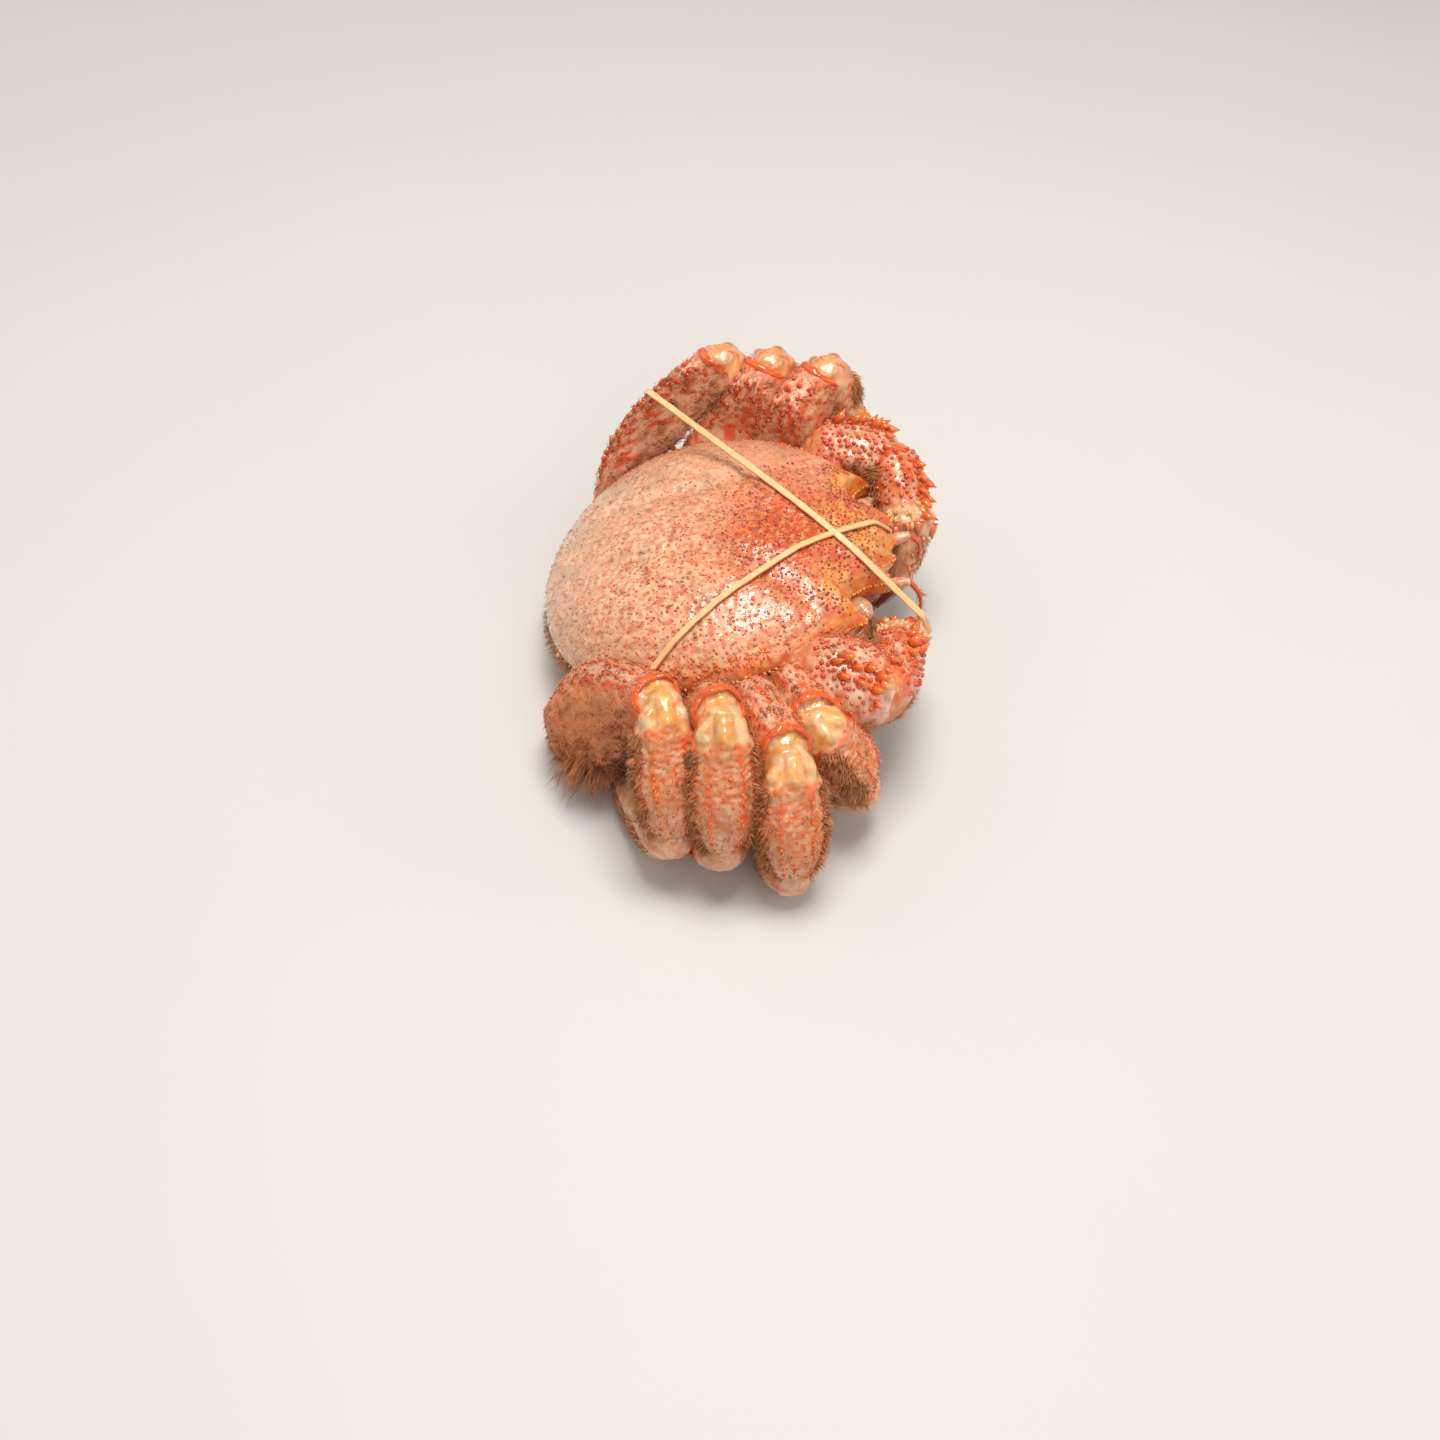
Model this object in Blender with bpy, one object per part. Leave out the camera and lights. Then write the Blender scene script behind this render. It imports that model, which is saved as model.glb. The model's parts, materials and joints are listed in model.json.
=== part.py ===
# Horsehair crab at life size, legs folded under the body and tied with two
# flat rubber bands.  The crab faces -Y, its left side is +X and up is +Z.
# All sizes are in metres.

import math
import random
from collections import namedtuple

import bmesh
import bpy
import numpy as np
from mathutils import Matrix, Vector
from mathutils.bvhtree import BVHTree
from mathutils.geometry import convex_hull_2d

# Whole animal
CARAPACE_LENGTH = 0.1048
DOME_HEIGHT = 0.0171
MARGIN_DROOP = 0.0119
BODY_PITCH = math.radians(17.0)
BODY_LIFT = 0.0368
FLOOR_LEVEL = 0.0008
FLOOR_SIZE = 0.4
JOINT_GAP = 0.0003

FLAT_ANGLE = math.radians(1.5)

# Solvers to try in turn for a Boolean, with a tiny shift of what is joined or
# cut, for surfaces that only just touch
BOOLEAN_TRIES = (("EXACT", 0.0), ("EXACT", 0.000011), ("MANIFOLD", 0.000011),
                 ("EXACT", 0.000037), ("MANIFOLD", 0.000037))

# Outline of one half of the carapace: half width, place from front to rear,
# both as fractions of the carapace length
OUTLINE = (
    (0.000, 0.022), (0.034, 0.000), (0.066, 0.034), (0.125, 0.010),
    (0.142, 0.075), (0.185, 0.125), (0.228, 0.112), (0.272, 0.068),
    (0.292, 0.112), (0.330, 0.150), (0.372, 0.205), (0.408, 0.262),
    (0.438, 0.330), (0.458, 0.400), (0.470, 0.480), (0.470, 0.560),
    (0.458, 0.640), (0.432, 0.720), (0.388, 0.800), (0.325, 0.870),
    (0.245, 0.930), (0.160, 0.970), (0.080, 0.992), (0.000, 1.000))
OUTLINE_CENTRE = 0.53

# The oval that the outline blends into towards the crown, the power of that
# blend, and the power of the dome's section
OVAL = (0.455, 0.49)
BLEND_POWER = 9
DOME_POWER = 2.4

# Rings of the carapace below its margin: scale of the outline, drop
UNDER_RINGS = ((0.985, 0.0026), (0.935, 0.0066), (0.850, 0.0100), (0.700, 0.0125), (0.400, 0.0130))
TOP_RINGS = (0.985, 0.95, 0.89, 0.79, 0.65, 0.46, 0.25)

# Underside of the body, level: place, top, bottom, half width.  The front
# rows slope up to the mouth
THORAX_ROWS = (
    (-0.0465, -0.0085, -0.0120, 0.0130), (-0.0400, -0.0080, -0.0150, 0.0190),
    (-0.0300, -0.0080, -0.0195, 0.0235), (-0.0200, -0.0090, -0.0222, 0.0260),
    (0.0000, -0.0100, -0.0225, 0.0280), (0.0130, -0.0105, -0.0225, 0.0288),
    (0.0280, -0.0105, -0.0225, 0.0270), (0.0400, -0.0115, -0.0215, 0.0200),
    (0.0460, -0.0130, -0.0200, 0.0120))
THORAX_SIDES = 16
THORAX_POWER = 3.2
STUB_SIDES = 8
STUB_ROWS = ((0.0, 0.8, 0.8, 0), (0.3, 1, 1, 0), (0.85, 1.0, 0.95, 0), (1, 0.7, 0.7, 0))
STUB_HALF = 0.0062
STUB_ROOT = 0.006
STUB_END = 0.003
FLAP_THICKNESS = 0.0026
FLAP_HALF_WIDTH = 0.0150
FLAP_SIDES = 10
FLAP_POWER = 3.5

# Abdomen, level: place, height and width; it narrows a little at each joint
FLAP_PATH = (
    (0.0470, -0.0090, 0.80), (0.0500, -0.0128, 0.95), (0.0497, -0.0178, 1.00), (0.0460, -0.0226, 0.97),
    (0.0385, -0.0238, 0.94), (0.0375, -0.0238, 0.86), (0.0290, -0.0240, 0.82), (0.0280, -0.0240, 0.74),
    (0.0190, -0.0240, 0.70), (0.0180, -0.0240, 0.62), (0.0090, -0.0240, 0.58), (0.0080, -0.0240, 0.50),
    (-0.0040, -0.0239, 0.44), (-0.0140, -0.0234, 0.18))

# Legs: lengths of the stub on the body, merus, carpus, propodus and dactylus
# for leg pairs 2 to 5
LEG_LENGTHS = {
    2: (0.0097, 0.0413, 0.0302, 0.0270, 0.0268),
    3: (0.0108, 0.0530, 0.0360, 0.0308, 0.0306),
    4: (0.0113, 0.0545, 0.0375, 0.0322, 0.0312),
    5: (0.0200, 0.0540, 0.0370, 0.0330, 0.0285)}
LEG_BASES = {2: (0.021, -0.007, -0.0145), 3: (0.022, 0.004, -0.0155),
             4: (0.021, 0.018, -0.0155), 5: (0.022, 0.036, -0.015)}

# Pose of each leg: turn from straight out towards the rear, and rise, in
# degrees, for its five segments
LEG_POSE = {
    ("left", 2): ((-27, 13), (-29, 28), (-69, -66), (158, -30), (167, -6)),
    ("left", 3): ((-20, 13), (-44, 47), (-14, -70), (155, -45), (164, -6)),
    ("left", 4): ((-32, 22), (-35, 51), (-13, -70), (156, -43), (171, -6)),
    ("left", 5): ((15, 47), (-58, 47), (-14, -72), (139, -52), (144, -7)),
    ("right", 2): ((-24, 12), (-26, 24), (-82, -62), (158, -26), (162, -6)),
    ("right", 3): ((-21, 6), (-25, 24), (-13, -68), (167, -6), (167, -5)),
    ("right", 4): ((-15, 22), (-23, 35), (-8, -64), (164, -22), (166, -5)),
    ("right", 5): ((18, 3), (-47, 44), (-12, -59), (150, -21), (134, -9))}

# Sections along a segment: place, half height, half thickness, lift
MERUS_ROWS = ((-0.06, 0.50, 0.60, 0.0), (0.05, 0.82, 0.84, 0.0), (0.34, 1.08, 1.00, 0.03),
              (0.72, 1.02, 1.02, 0.03), (0.95, 0.80, 0.98, 0.0), (1.04, 0.60, 0.76, 0.0))
CARPUS_ROWS = ((-0.12, 0.45, 0.50, 0.0), (0.0, 0.84, 0.82, 0.0), (0.26, 0.98, 0.98, 0.02),
               (0.58, 1.02, 1.02, 0.04), (0.88, 0.74, 0.74, 0.02), (1.01, 0.40, 0.42, 0.0))
PROPODUS_ROWS = ((-0.12, 0.60, 0.66, 0.0), (0.0, 0.98, 1.02, 0.0), (0.40, 1.02, 1.00, 0.04),
                 (0.80, 0.84, 0.80, 0.02), (1.00, 0.52, 0.52, 0.0))
DACTYLUS_ROWS = ((-0.08, 0.75, 0.75, 0.0), (0.08, 1.00, 1.00, 0.0), (0.48, 0.74, 0.74, 0.06),
                 (0.84, 0.36, 0.36, 0.03), (1.00, 0.14, 0.14, -0.03))
LEG_KINDS = (("merus", MERUS_ROWS, (0.0104, 0.0078), 1), ("carpus", CARPUS_ROWS, (0.0086, 0.0083), 1),
             ("propodus", PROPODUS_ROWS, (0.0064, 0.0066), -1),
             ("dactylus", DACTYLUS_ROWS, (0.0042, 0.0038), -1))
LEG_SCALE = {2: 0.93, 3: 1.0, 4: 1.0, 5: 1.0}
NARROW_MERUS = {("left", 5): 0.76}
LEG_SIDES = 8
TIP_SIDES = 6

# Claws: ends of the segments, right one given as left for x
CLAW_JOINTS = {
    "right": ((0.022, -0.021, 0.0290), (0.0460, -0.0290, 0.0430), (0.0500, -0.0485, 0.0405),
              (0.0235, -0.0540, 0.0310), (0.0070, -0.0500, 0.0110)),
    "left": ((0.022, -0.021, 0.0290), (0.0430, -0.0290, 0.0450), (0.0400, -0.0495, 0.0455),
             (0.0190, -0.0560, 0.0335), (0.0070, -0.0490, 0.0125))}
CLAW_MERUS_ROWS = ((0.10, 0.62, 0.62, 0.0), (0.40, 0.92, 0.92, 0.0), (0.75, 1.00, 1.00, 0.0),
                   (1.02, 0.82, 0.86, 0.0))
CLAW_CARPUS_ROWS = ((-0.22, 0.42, 0.42, 0.0), (-0.05, 0.78, 0.78, 0.0), (0.22, 0.96, 0.95, 0.02),
                    (0.60, 1.00, 1.00, 0.04), (0.90, 0.90, 0.92, 0.02), (1.06, 0.66, 0.70, 0.0))
PALM_ROWS = ((-0.16, 0.46, 0.50, 0.0), (0.0, 0.80, 0.84, 0.0), (0.30, 1.00, 1.00, 0.02),
             (0.65, 1.00, 0.98, 0.02), (0.95, 0.80, 0.84, 0.0), (1.06, 0.55, 0.60, 0.0))
FINGER_ROWS = ((-0.20, 0.80, 0.90, 0.0), (0.10, 1.00, 1.00, 0.0), (0.45, 0.82, 0.80, 0.04),
               (0.80, 0.46, 0.48, 0.02), (1.00, 0.16, 0.20, -0.06))
CLAW_MERUS_HALF = (0.0095, 0.0080)
CLAW_CARPUS_HALF = {"left": (0.0096, 0.0098), "right": (0.0110, 0.0105)}
CLAW_SIDES = 8
FINGER_APART = (0.0, -0.0033, 0.0035)
FINGER_SPREAD = 0.7
FINGER_UP = (0, -1, 0.4)
PALM_UP = (0, -0.25, 1)
PALM_HALF = (0.0105, 0.0080)
FINGER_HALF = (0.0046, 0.0048)

# Face, level, left side: root, tip, up, rows, half sizes and sides of the
# plate that closes the mouth, the eye on its stalk and the antenna's base
FACE_PARTS = {
    "maxilliped": ((0.0061, -0.0205, -0.0236), (0.0061, -0.0460, -0.0130), (0, -0.5, -1),
                   ((0.0, 0.60, 0.60, 0), (0.12, 1.0, 0.92, 0.01), (0.48, 1.0, 1.0, 0.02),
                    (0.53, 0.80, 0.90, 0.02), (0.58, 1.0, 0.88, 0.02), (0.86, 0.9, 0.70, 0.01),
                    (1.0, 0.5, 0.45, 0)), (0.0026, 0.0056), 10),
    "eye": ((0.0140, -0.0385, -0.0085), (0.0225, -0.0450, -0.0072), (0, 0, 1),
            ((0.0, 0.75, 0.75, 0), (0.4, 0.8, 0.8, 0), (0.7, 1.0, 1.0, 0), (1.0, 0.9, 0.9, 0),
             (1.15, 0.5, 0.5, 0)),
            (0.0032, 0.0032), 8),
    "antenna": ((0.0105, -0.0440, -0.0115), (0.0120, -0.0530, -0.0105), (0, 0, 1),
                ((0, 1, 1, 0), (0.6, 0.9, 0.9, 0), (1, 0.5, 0.5, 0)), (0.0019, 0.0021), 8)}
WHIP_REACH = (0.0040, -0.0120, -0.0125)
WHIP_ROWS = ((0, 1, 1, 0), (0.3, 0.8, 0.8, 0.05), (0.7, 0.55, 0.55, 0.05), (1, 0.35, 0.35, 0))
WHIP_HALF = (0.00085, 0.00085)

# Spines and locks: rows along a segment, given as kind, angle from its outer
# ridge towards the front (inner side on a claw), from, to, count, length,
# width and lean towards the tip
LEG_TRIM = {
    "merus": (("spine", 0, 0.14, 0.92, 6, 0.0023, 0.0011, 0.5),
              ("spine", 42, 0.30, 0.90, 4, 0.0018, 0.0010, 0.5),
              ("spine", -42, 0.30, 0.90, 4, 0.0018, 0.0010, 0.5),
              ("lock", 112, 0.20, 0.85, 3, 0.0048, 0.0030, 0.9),
              ("lock", -112, 0.20, 0.85, 3, 0.0048, 0.0030, 0.9)),
    "carpus": (("spine", 0, 0.24, 0.86, 5, 0.0019, 0.0011, 0.6),
               ("spine", 38, 0.20, 0.82, 5, 0.0019, 0.0011, 0.6),
               ("spine", -38, 0.20, 0.82, 5, 0.0019, 0.0011, 0.6),
               ("lock", 92, 0.22, 0.80, 3, 0.0042, 0.0028, 0.9),
               ("lock", -92, 0.22, 0.80, 3, 0.0042, 0.0028, 0.9)),
    "propodus": (("lock", 80, 0.20, 0.80, 2, 0.0040, 0.0026, 0.9),
                 ("lock", -80, 0.20, 0.80, 2, 0.0040, 0.0026, 0.9)),
    "dactylus": (("lock", 95, 0.20, 0.50, 1, 0.0030, 0.0020, 0.9),
                 ("lock", -95, 0.20, 0.50, 1, 0.0030, 0.0020, 0.9))}

# Long locks under the root of each hind merus
LOBE_TRIM = (("lock", 178, 0.06, 0.46, 4, 0.0085, 0.0036, -0.35),
             ("lock", 140, 0.0, 0.40, 3, 0.0070, 0.0034, -0.35))
CLAW_TRIM = {
    "claw_merus": (("spine", 0, 0.50, 0.95, 3, 0.0016, 0.0009, 0.5),),
    "claw_carpus": (("spine", 30, 0.12, 0.86, 4, 0.0021, 0.0012, 0.5),
                    ("spine", -4, 0.20, 0.95, 5, 0.0023, 0.0012, 0.6),
                    ("spine", -38, 0.12, 0.98, 5, 0.0023, 0.0012, 0.6),
                    ("spine", -72, 0.25, 0.98, 4, 0.0023, 0.0012, 0.6),
                    ("lock", -108, 0.25, 0.85, 4, 0.0060, 0.0034, 0.5)),
    "claw_palm": (("spine", 0, 0.10, 0.90, 5, 0.0022, 0.0012, 0.5),
                  ("spine", -36, 0.10, 0.90, 5, 0.0022, 0.0012, 0.5),
                  ("spine", -74, 0.15, 0.85, 4, 0.0021, 0.0012, 0.5),
                  ("lock", -120, 0.20, 0.70, 3, 0.0055, 0.0032, 0.5)),
    "claw_dactylus": (("spine", 0, 0.10, 0.45, 2, 0.0012, 0.0008, 0.5),)}

# Margin of the carapace: teeth and locks, given as from, to, count, length
# and width on each side; the teeth lessen towards the rear
MARGIN_TEETH = (0.33, 0.84, 9, 0.0030, 0.0015)
MARGIN_LOCKS = (0.40, 0.90, 7, 0.0042, 0.0026)
TOOTH_TAPER = 0.45
TOOTH_LEAN = (0, -0.45, 0.25)
FRINGE_DROP = 0.0012
FRINGE_LIE = (0, 0.15, -0.25)
FRINGE_RISE = (0.6, 0.8)

# Granules over the dome, on a spiral of golden angles within an oval
GRANULES = 54
GRANULE_SIZE = (0.0010, 0.0011)
GRANULE_AREA = (0.385, 0.41)
GOLDEN_ANGLE = math.radians(137.508)
SINK = 0.0009
LOCK_HALF = 0.00042
FREE_GAP = 0.00035
TRIES = (1.0, 0.72, 0.5)
SEED = 7

# Rubber bands
BAND_WIDTH = 0.0018
BAND_THICKNESS = 0.0009
BAND_FLOOR = 0.0026
BAND_STEP = 0.0040
BAND_SLACK = 0.00006
BAND_HOLDS = {"a": ("carapace", "thorax", "abdomen", "maxilliped", "claw", "leg"),
              "b": ("carapace", "thorax", "abdomen", "maxilliped")}
BAND_POINTS = {
    "a": ((0.0460, 0.0180, 0.0520), (-0.0049, -0.0342, 0.0548), (-0.0135, -0.0470, 0.0485)),
    "b": ((-0.0355, 0.0009, 0.0488), (-0.0048, -0.0342, 0.0545), (0.0068, -0.0485, 0.0472))}

COLOURS = {
    "shell": (0.78, 0.42, 0.27), "under": (0.85, 0.66, 0.50), "leg": (0.80, 0.47, 0.30),
    "claw": (0.82, 0.45, 0.30), "mouth": (0.42, 0.18, 0.10), "eye": (0.70, 0.55, 0.40),
    "antenna": (0.80, 0.25, 0.10), "band": (0.86, 0.68, 0.40)}

SIDES = {"left": 1.0, "right": -1.0}


def clear_scene():
    for item in list(bpy.data.objects):
        bpy.data.objects.remove(item, do_unlink=True)


def settle(point):
    """Turn a point of the level body to the pitched body and lift it."""
    turned = Matrix.Rotation(-BODY_PITCH, 3, "X") @ Vector(point)
    return turned + Vector((0.0, 0.0, BODY_LIFT))


def mesh_from(name, vertices, faces):
    mesh = bpy.data.meshes.new(name)
    mesh.from_pydata([tuple(v) for v in vertices], [], faces)
    work = bmesh.new()
    work.from_mesh(mesh)
    bmesh.ops.recalc_face_normals(work, faces=work.faces)
    bmesh.ops.triangulate(work, faces=work.faces)
    work.to_mesh(mesh)
    work.free()
    return mesh


def skin_rings(name, rings):
    """Close a stack of rings of equal count into one solid."""
    count = len(rings[0])
    vertices = [point for ring in rings for point in ring]
    faces = []
    for row in range(len(rings) - 1):
        for k in range(count):
            j = (k + 1) % count
            faces.append((row * count + k, row * count + j, (row + 1) * count + j, (row + 1) * count + k))
    for row in (0, len(rings) - 1):
        centre = sum((Vector(p) for p in rings[row]), Vector()) / count
        vertices.append(centre)
        hub = len(vertices) - 1
        faces += [(row * count + k, row * count + (k + 1) % count, hub) for k in range(count)]
    return mesh_from(name, vertices, faces)


def section(centre, up, side, half_up, half_side, sides, power=2.3):
    ring = []
    for k in range(sides):
        angle = 2.0 * math.pi * (k + 0.5) / sides
        c, s = math.cos(angle), math.sin(angle)
        a = math.copysign(abs(c) ** (2.0 / power), c)
        b = math.copysign(abs(s) ** (2.0 / power), s)
        ring.append(centre + up * (a * half_up) + side * (b * half_side))
    return ring


Shape = namedtuple("Shape", "start end up rows half sides")


def frame_of(shape):
    """Unit vectors along a segment, up and to its side, and its length."""
    along = shape.end - shape.start
    length = along.length
    along = along / length
    up = Vector(shape.up)
    up = (up - along * along.dot(up)).normalized()
    return along, up, along.cross(up), length


def loft(name, shape):
    """Solid along a segment, with rows of place, height, thickness, lift."""
    along, up, side, length = frame_of(shape)
    rings = []
    for place, high, thick, lift in shape.rows:
        centre = shape.start + along * (place * length) + up * (lift * length)
        rings.append(section(centre, up, side, high * shape.half[0], thick * shape.half[1], shape.sides))
    return skin_rings(name, rings)


def grown(mesh, gap):
    """Copy of a closed mesh with its surface moved outwards by gap."""
    work = bmesh.new()
    work.from_mesh(mesh)
    work.normal_update()
    moves = [v.normal * (gap * min(v.calc_shell_factor(), 1.7)) for v in work.verts]
    for v, move in zip(work.verts, moves):
        v.co += move
    copy = bpy.data.meshes.new(mesh.name + "_grown")
    work.to_mesh(copy)
    work.free()
    return copy


def keep_largest(mesh):
    """Weld close points and keep only the largest closed surface."""
    work = bmesh.new()
    work.from_mesh(mesh)
    bmesh.ops.remove_doubles(work, verts=work.verts, dist=0.000002)
    bmesh.ops.dissolve_degenerate(work, dist=0.000002, edges=work.edges)
    bmesh.ops.triangulate(work, faces=work.faces)
    seen, groups = set(), []
    for face in work.faces:
        if face in seen:
            continue
        stack, group = [face], []
        seen.add(face)
        while stack:
            item = stack.pop()
            group.append(item)
            for edge in item.edges:
                for other in edge.link_faces:
                    if other not in seen:
                        seen.add(other)
                        stack.append(other)
        groups.append(group)
    def volume(group):
        total = 0.0
        for face in group:
            a, b, c = (v.co for v in face.verts)
            total += a.dot(b.cross(c)) / 6.0
        return abs(total)
    groups.sort(key=volume, reverse=True)
    spare = [face for group in groups[1:] for face in group]
    bmesh.ops.delete(work, geom=spare, context="FACES")
    loose = [v for v in work.verts if not v.link_faces]
    bmesh.ops.delete(work, geom=loose, context="VERTS")
    closed = all(len(edge.link_faces) == 2 for edge in work.edges)
    work.to_mesh(mesh)
    work.free()
    return closed


def merge_flat(mesh):
    """Join facets that lie in one plane, to keep the solid light."""
    work = bmesh.new()
    work.from_mesh(mesh)
    bmesh.ops.dissolve_limit(work, angle_limit=FLAT_ANGLE, verts=work.verts, edges=work.edges)
    bmesh.ops.triangulate(work, faces=work.faces)
    if all(len(edge.link_faces) == 2 for edge in work.edges):
        work.to_mesh(mesh)
    work.free()
    return mesh


def crosses(mesh, other):
    """Whether the surfaces of two meshes meet."""
    trees = []
    for item in (mesh, other):
        points = [v.co[:] for v in item.vertices]
        trees.append(BVHTree.FromPolygons(points, [p.vertices[:] for p in item.polygons]))
    return bool(trees[0].overlap(trees[1]))


def boolean(mesh, others, operation, needed=True):
    """Boolean of a mesh with a list of meshes; gives a new closed mesh."""
    others = [other for other in others if crosses(mesh, other)]
    if not others:
        return mesh
    group = bpy.data.collections.new("boolean_work")
    bpy.context.scene.collection.children.link(group)
    base = bpy.data.objects.new("boolean_base", mesh)
    bpy.context.scene.collection.objects.link(base)
    made = [base]
    for other in others:
        item = bpy.data.objects.new("boolean_item", other)
        item.display_type = "WIRE"
        item.hide_render = True
        group.objects.link(item)
        made.append(item)
    result = None
    for solver, nudge in BOOLEAN_TRIES:
        for k, item in enumerate(made[1:]):
            item.location = Vector((math.sin(k), math.cos(k), 0.5)) * nudge
        modifier = base.modifiers.new("boolean", "BOOLEAN")
        modifier.operation = operation
        modifier.operand_type = "COLLECTION"
        modifier.collection = group
        modifier.solver = solver
        shape = base.evaluated_get(bpy.context.evaluated_depsgraph_get())
        result = bpy.data.meshes.new_from_object(shape)
        base.modifiers.clear()
        if len(result.polygons) and keep_largest(result):
            break
        result = None
    for item in made:
        bpy.data.objects.remove(item, do_unlink=True)
    bpy.data.collections.remove(group)
    if result is not None:
        result.name = mesh.name
    elif needed:
        raise RuntimeError("boolean failed on " + mesh.name)
    return result


def fuse(mesh, pieces):
    """Union of a node with its pieces; one that will not join is left off."""
    joined = boolean(mesh, pieces, "UNION", needed=False)
    if joined is not None:
        return joined
    if len(pieces) == 1:
        return mesh
    half = len(pieces) // 2
    return fuse(fuse(mesh, pieces[:half]), pieces[half:])


def box_of(mesh):
    points = np.array([v.co[:] for v in mesh.vertices])
    return points.min(axis=0), points.max(axis=0)


def near(box_a, box_b, margin):
    return bool(np.all(box_a[0] - margin < box_b[1]) and np.all(box_b[0] - margin < box_a[1]))


def carapace_outline():
    half = [(x * CARAPACE_LENGTH, (y - 0.5) * CARAPACE_LENGTH) for x, y in OUTLINE]
    other = [(-x, y) for x, y in half[1:-1]][::-1]
    return half + other


def margin_level(y):
    return -MARGIN_DROOP * 0.5 * (2.0 * y / CARAPACE_LENGTH - 0.1) ** 2


def carapace_mesh():
    """Domed shield: rings of the outline shrink towards the crown."""
    outline = carapace_outline()
    centre = (OUTLINE_CENTRE - 0.5) * CARAPACE_LENGTH
    smooth = []
    for x, y in outline:
        angle = math.atan2(y - centre, x)
        wide, long = (size * CARAPACE_LENGTH for size in OVAL)
        smooth.append((wide * math.cos(angle), centre + long * math.sin(angle)))
    rings = []
    for scale in TOP_RINGS[::-1]:
        height = DOME_HEIGHT * math.sqrt(1.0 - scale ** DOME_POWER)
        blend = scale ** BLEND_POWER
        ring = []
        for (x, y), (sx, sy) in zip(outline, smooth):
            px = (x * blend + sx * (1.0 - blend)) * scale
            py = centre + ((y - centre) * blend + (sy - centre) * (1.0 - blend)) * scale
            ring.append(settle((px, py, height + margin_level(py))))
        rings.append(ring)
    rings.append([settle((x, y, margin_level(y))) for x, y in outline])
    for scale, drop in UNDER_RINGS:
        ring = []
        for x, y in outline:
            py = centre + (y - centre) * scale
            ring.append(settle((x * scale, py, margin_level(py) * scale ** 4 - drop)))
        rings.append(ring)
    return skin_rings("carapace", rings)


def thorax_mesh():
    """Sternum, flanks and the slope of the mouth, with a stub for each leg."""
    rings = []
    turn = Matrix.Rotation(-BODY_PITCH, 3, "X")
    up, side = turn @ Vector((0, 0, 1)), Vector((1, 0, 0))
    for y, top, bottom, half in THORAX_ROWS:
        centre = settle((0, y, (top + bottom) / 2))
        rings.append(section(centre, up, side, (top - bottom) / 2, half, THORAX_SIDES,
                             THORAX_POWER))
    body = skin_rings("thorax", rings)
    stubs = []
    for name in SIDES:
        roots = [leg_points(name, pair)[:2] for pair in LEG_BASES]
        base, elbow = claw_points(name)[:2]
        roots.append((base, base + (elbow - base).normalized() * 0.0005))
        for start, end in roots:
            way = (end - start).normalized()
            shape = Shape(start - way * STUB_ROOT, end + way * STUB_END, (0, 0, 1), STUB_ROWS,
                          (STUB_HALF, STUB_HALF), STUB_SIDES)
            stubs.append(loft("stub", shape))
    return boolean(body, stubs, "UNION")


def flap_mesh():
    """Narrow abdomen folded from the rear edge forward under the body."""
    points = [settle((0, y, z)) for y, z, width in FLAP_PATH]
    rings = []
    for k, (y, z, width) in enumerate(FLAP_PATH):
        ahead = points[min(k + 1, len(points) - 1)] - points[max(k - 1, 0)]
        side = Vector((1, 0, 0))
        up = side.cross(ahead.normalized()).normalized()
        half = FLAP_HALF_WIDTH * width
        rings.append(section(points[k], up, side, FLAP_THICKNESS / 2, half, FLAP_SIDES, FLAP_POWER))
    return skin_rings("abdomen", rings)


def direction(side, turn, rise):
    t, r = math.radians(turn), math.radians(rise)
    return Vector((SIDES[side] * math.cos(t) * math.cos(r), math.sin(t) * math.cos(r), math.sin(r)))


def leg_points(side, pair):
    x, y, z = LEG_BASES[pair]
    points = [settle((SIDES[side] * x, y, z))]
    for length, (turn, rise) in zip(LEG_LENGTHS[pair], LEG_POSE[(side, pair)]):
        points.append(points[-1] + direction(side, turn, rise) * length)
    return points


def claw_points(side):
    return [Vector((SIDES[side] * x, y, z)) for x, y, z in CLAW_JOINTS[side]]


def leg_shapes(side, pair):
    points = leg_points(side, pair)[1:]
    scale = LEG_SCALE[pair]
    shapes = {}
    for k, (kind, rows, half, sign) in enumerate(LEG_KINDS):
        high = half[0] * scale
        if kind == "merus":
            high *= NARROW_MERUS.get((side, pair), 1.0)
        sides = TIP_SIDES if kind == "dactylus" else LEG_SIDES
        name = "leg%d_%s_%s" % (pair, kind, side)
        shapes[name] = Shape(points[k], points[k + 1], (0, 0, sign), rows, (high, half[1] * scale), sides)
    return shapes


def claw_shapes(side):
    base, elbow, wrist, knuckle, tip = claw_points(side)
    apart = Vector(FINGER_APART)
    return {
        "claw_merus_" + side: Shape(base, elbow, (0, 0, 1), CLAW_MERUS_ROWS, CLAW_MERUS_HALF, CLAW_SIDES),
        "claw_carpus_" + side: Shape(elbow, wrist, (0, 0, 1), CLAW_CARPUS_ROWS, CLAW_CARPUS_HALF[side],
                                     CLAW_SIDES),
        "claw_palm_" + side: Shape(wrist, knuckle, PALM_UP, PALM_ROWS, PALM_HALF, CLAW_SIDES),
        "claw_dactylus_" + side: Shape(knuckle + apart, tip + apart * FINGER_SPREAD, FINGER_UP, FINGER_ROWS,
                                       FINGER_HALF, LEG_SIDES)}


def fixed_finger(side):
    """The finger that grows from the palm, behind the one that moves."""
    knuckle, tip = claw_points(side)[3:]
    apart = Vector(FINGER_APART)
    end = tip - apart * FINGER_SPREAD
    shape = Shape(knuckle - apart, end, FINGER_UP, FINGER_ROWS, FINGER_HALF, LEG_SIDES)
    return loft("fixed_finger", shape)


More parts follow.
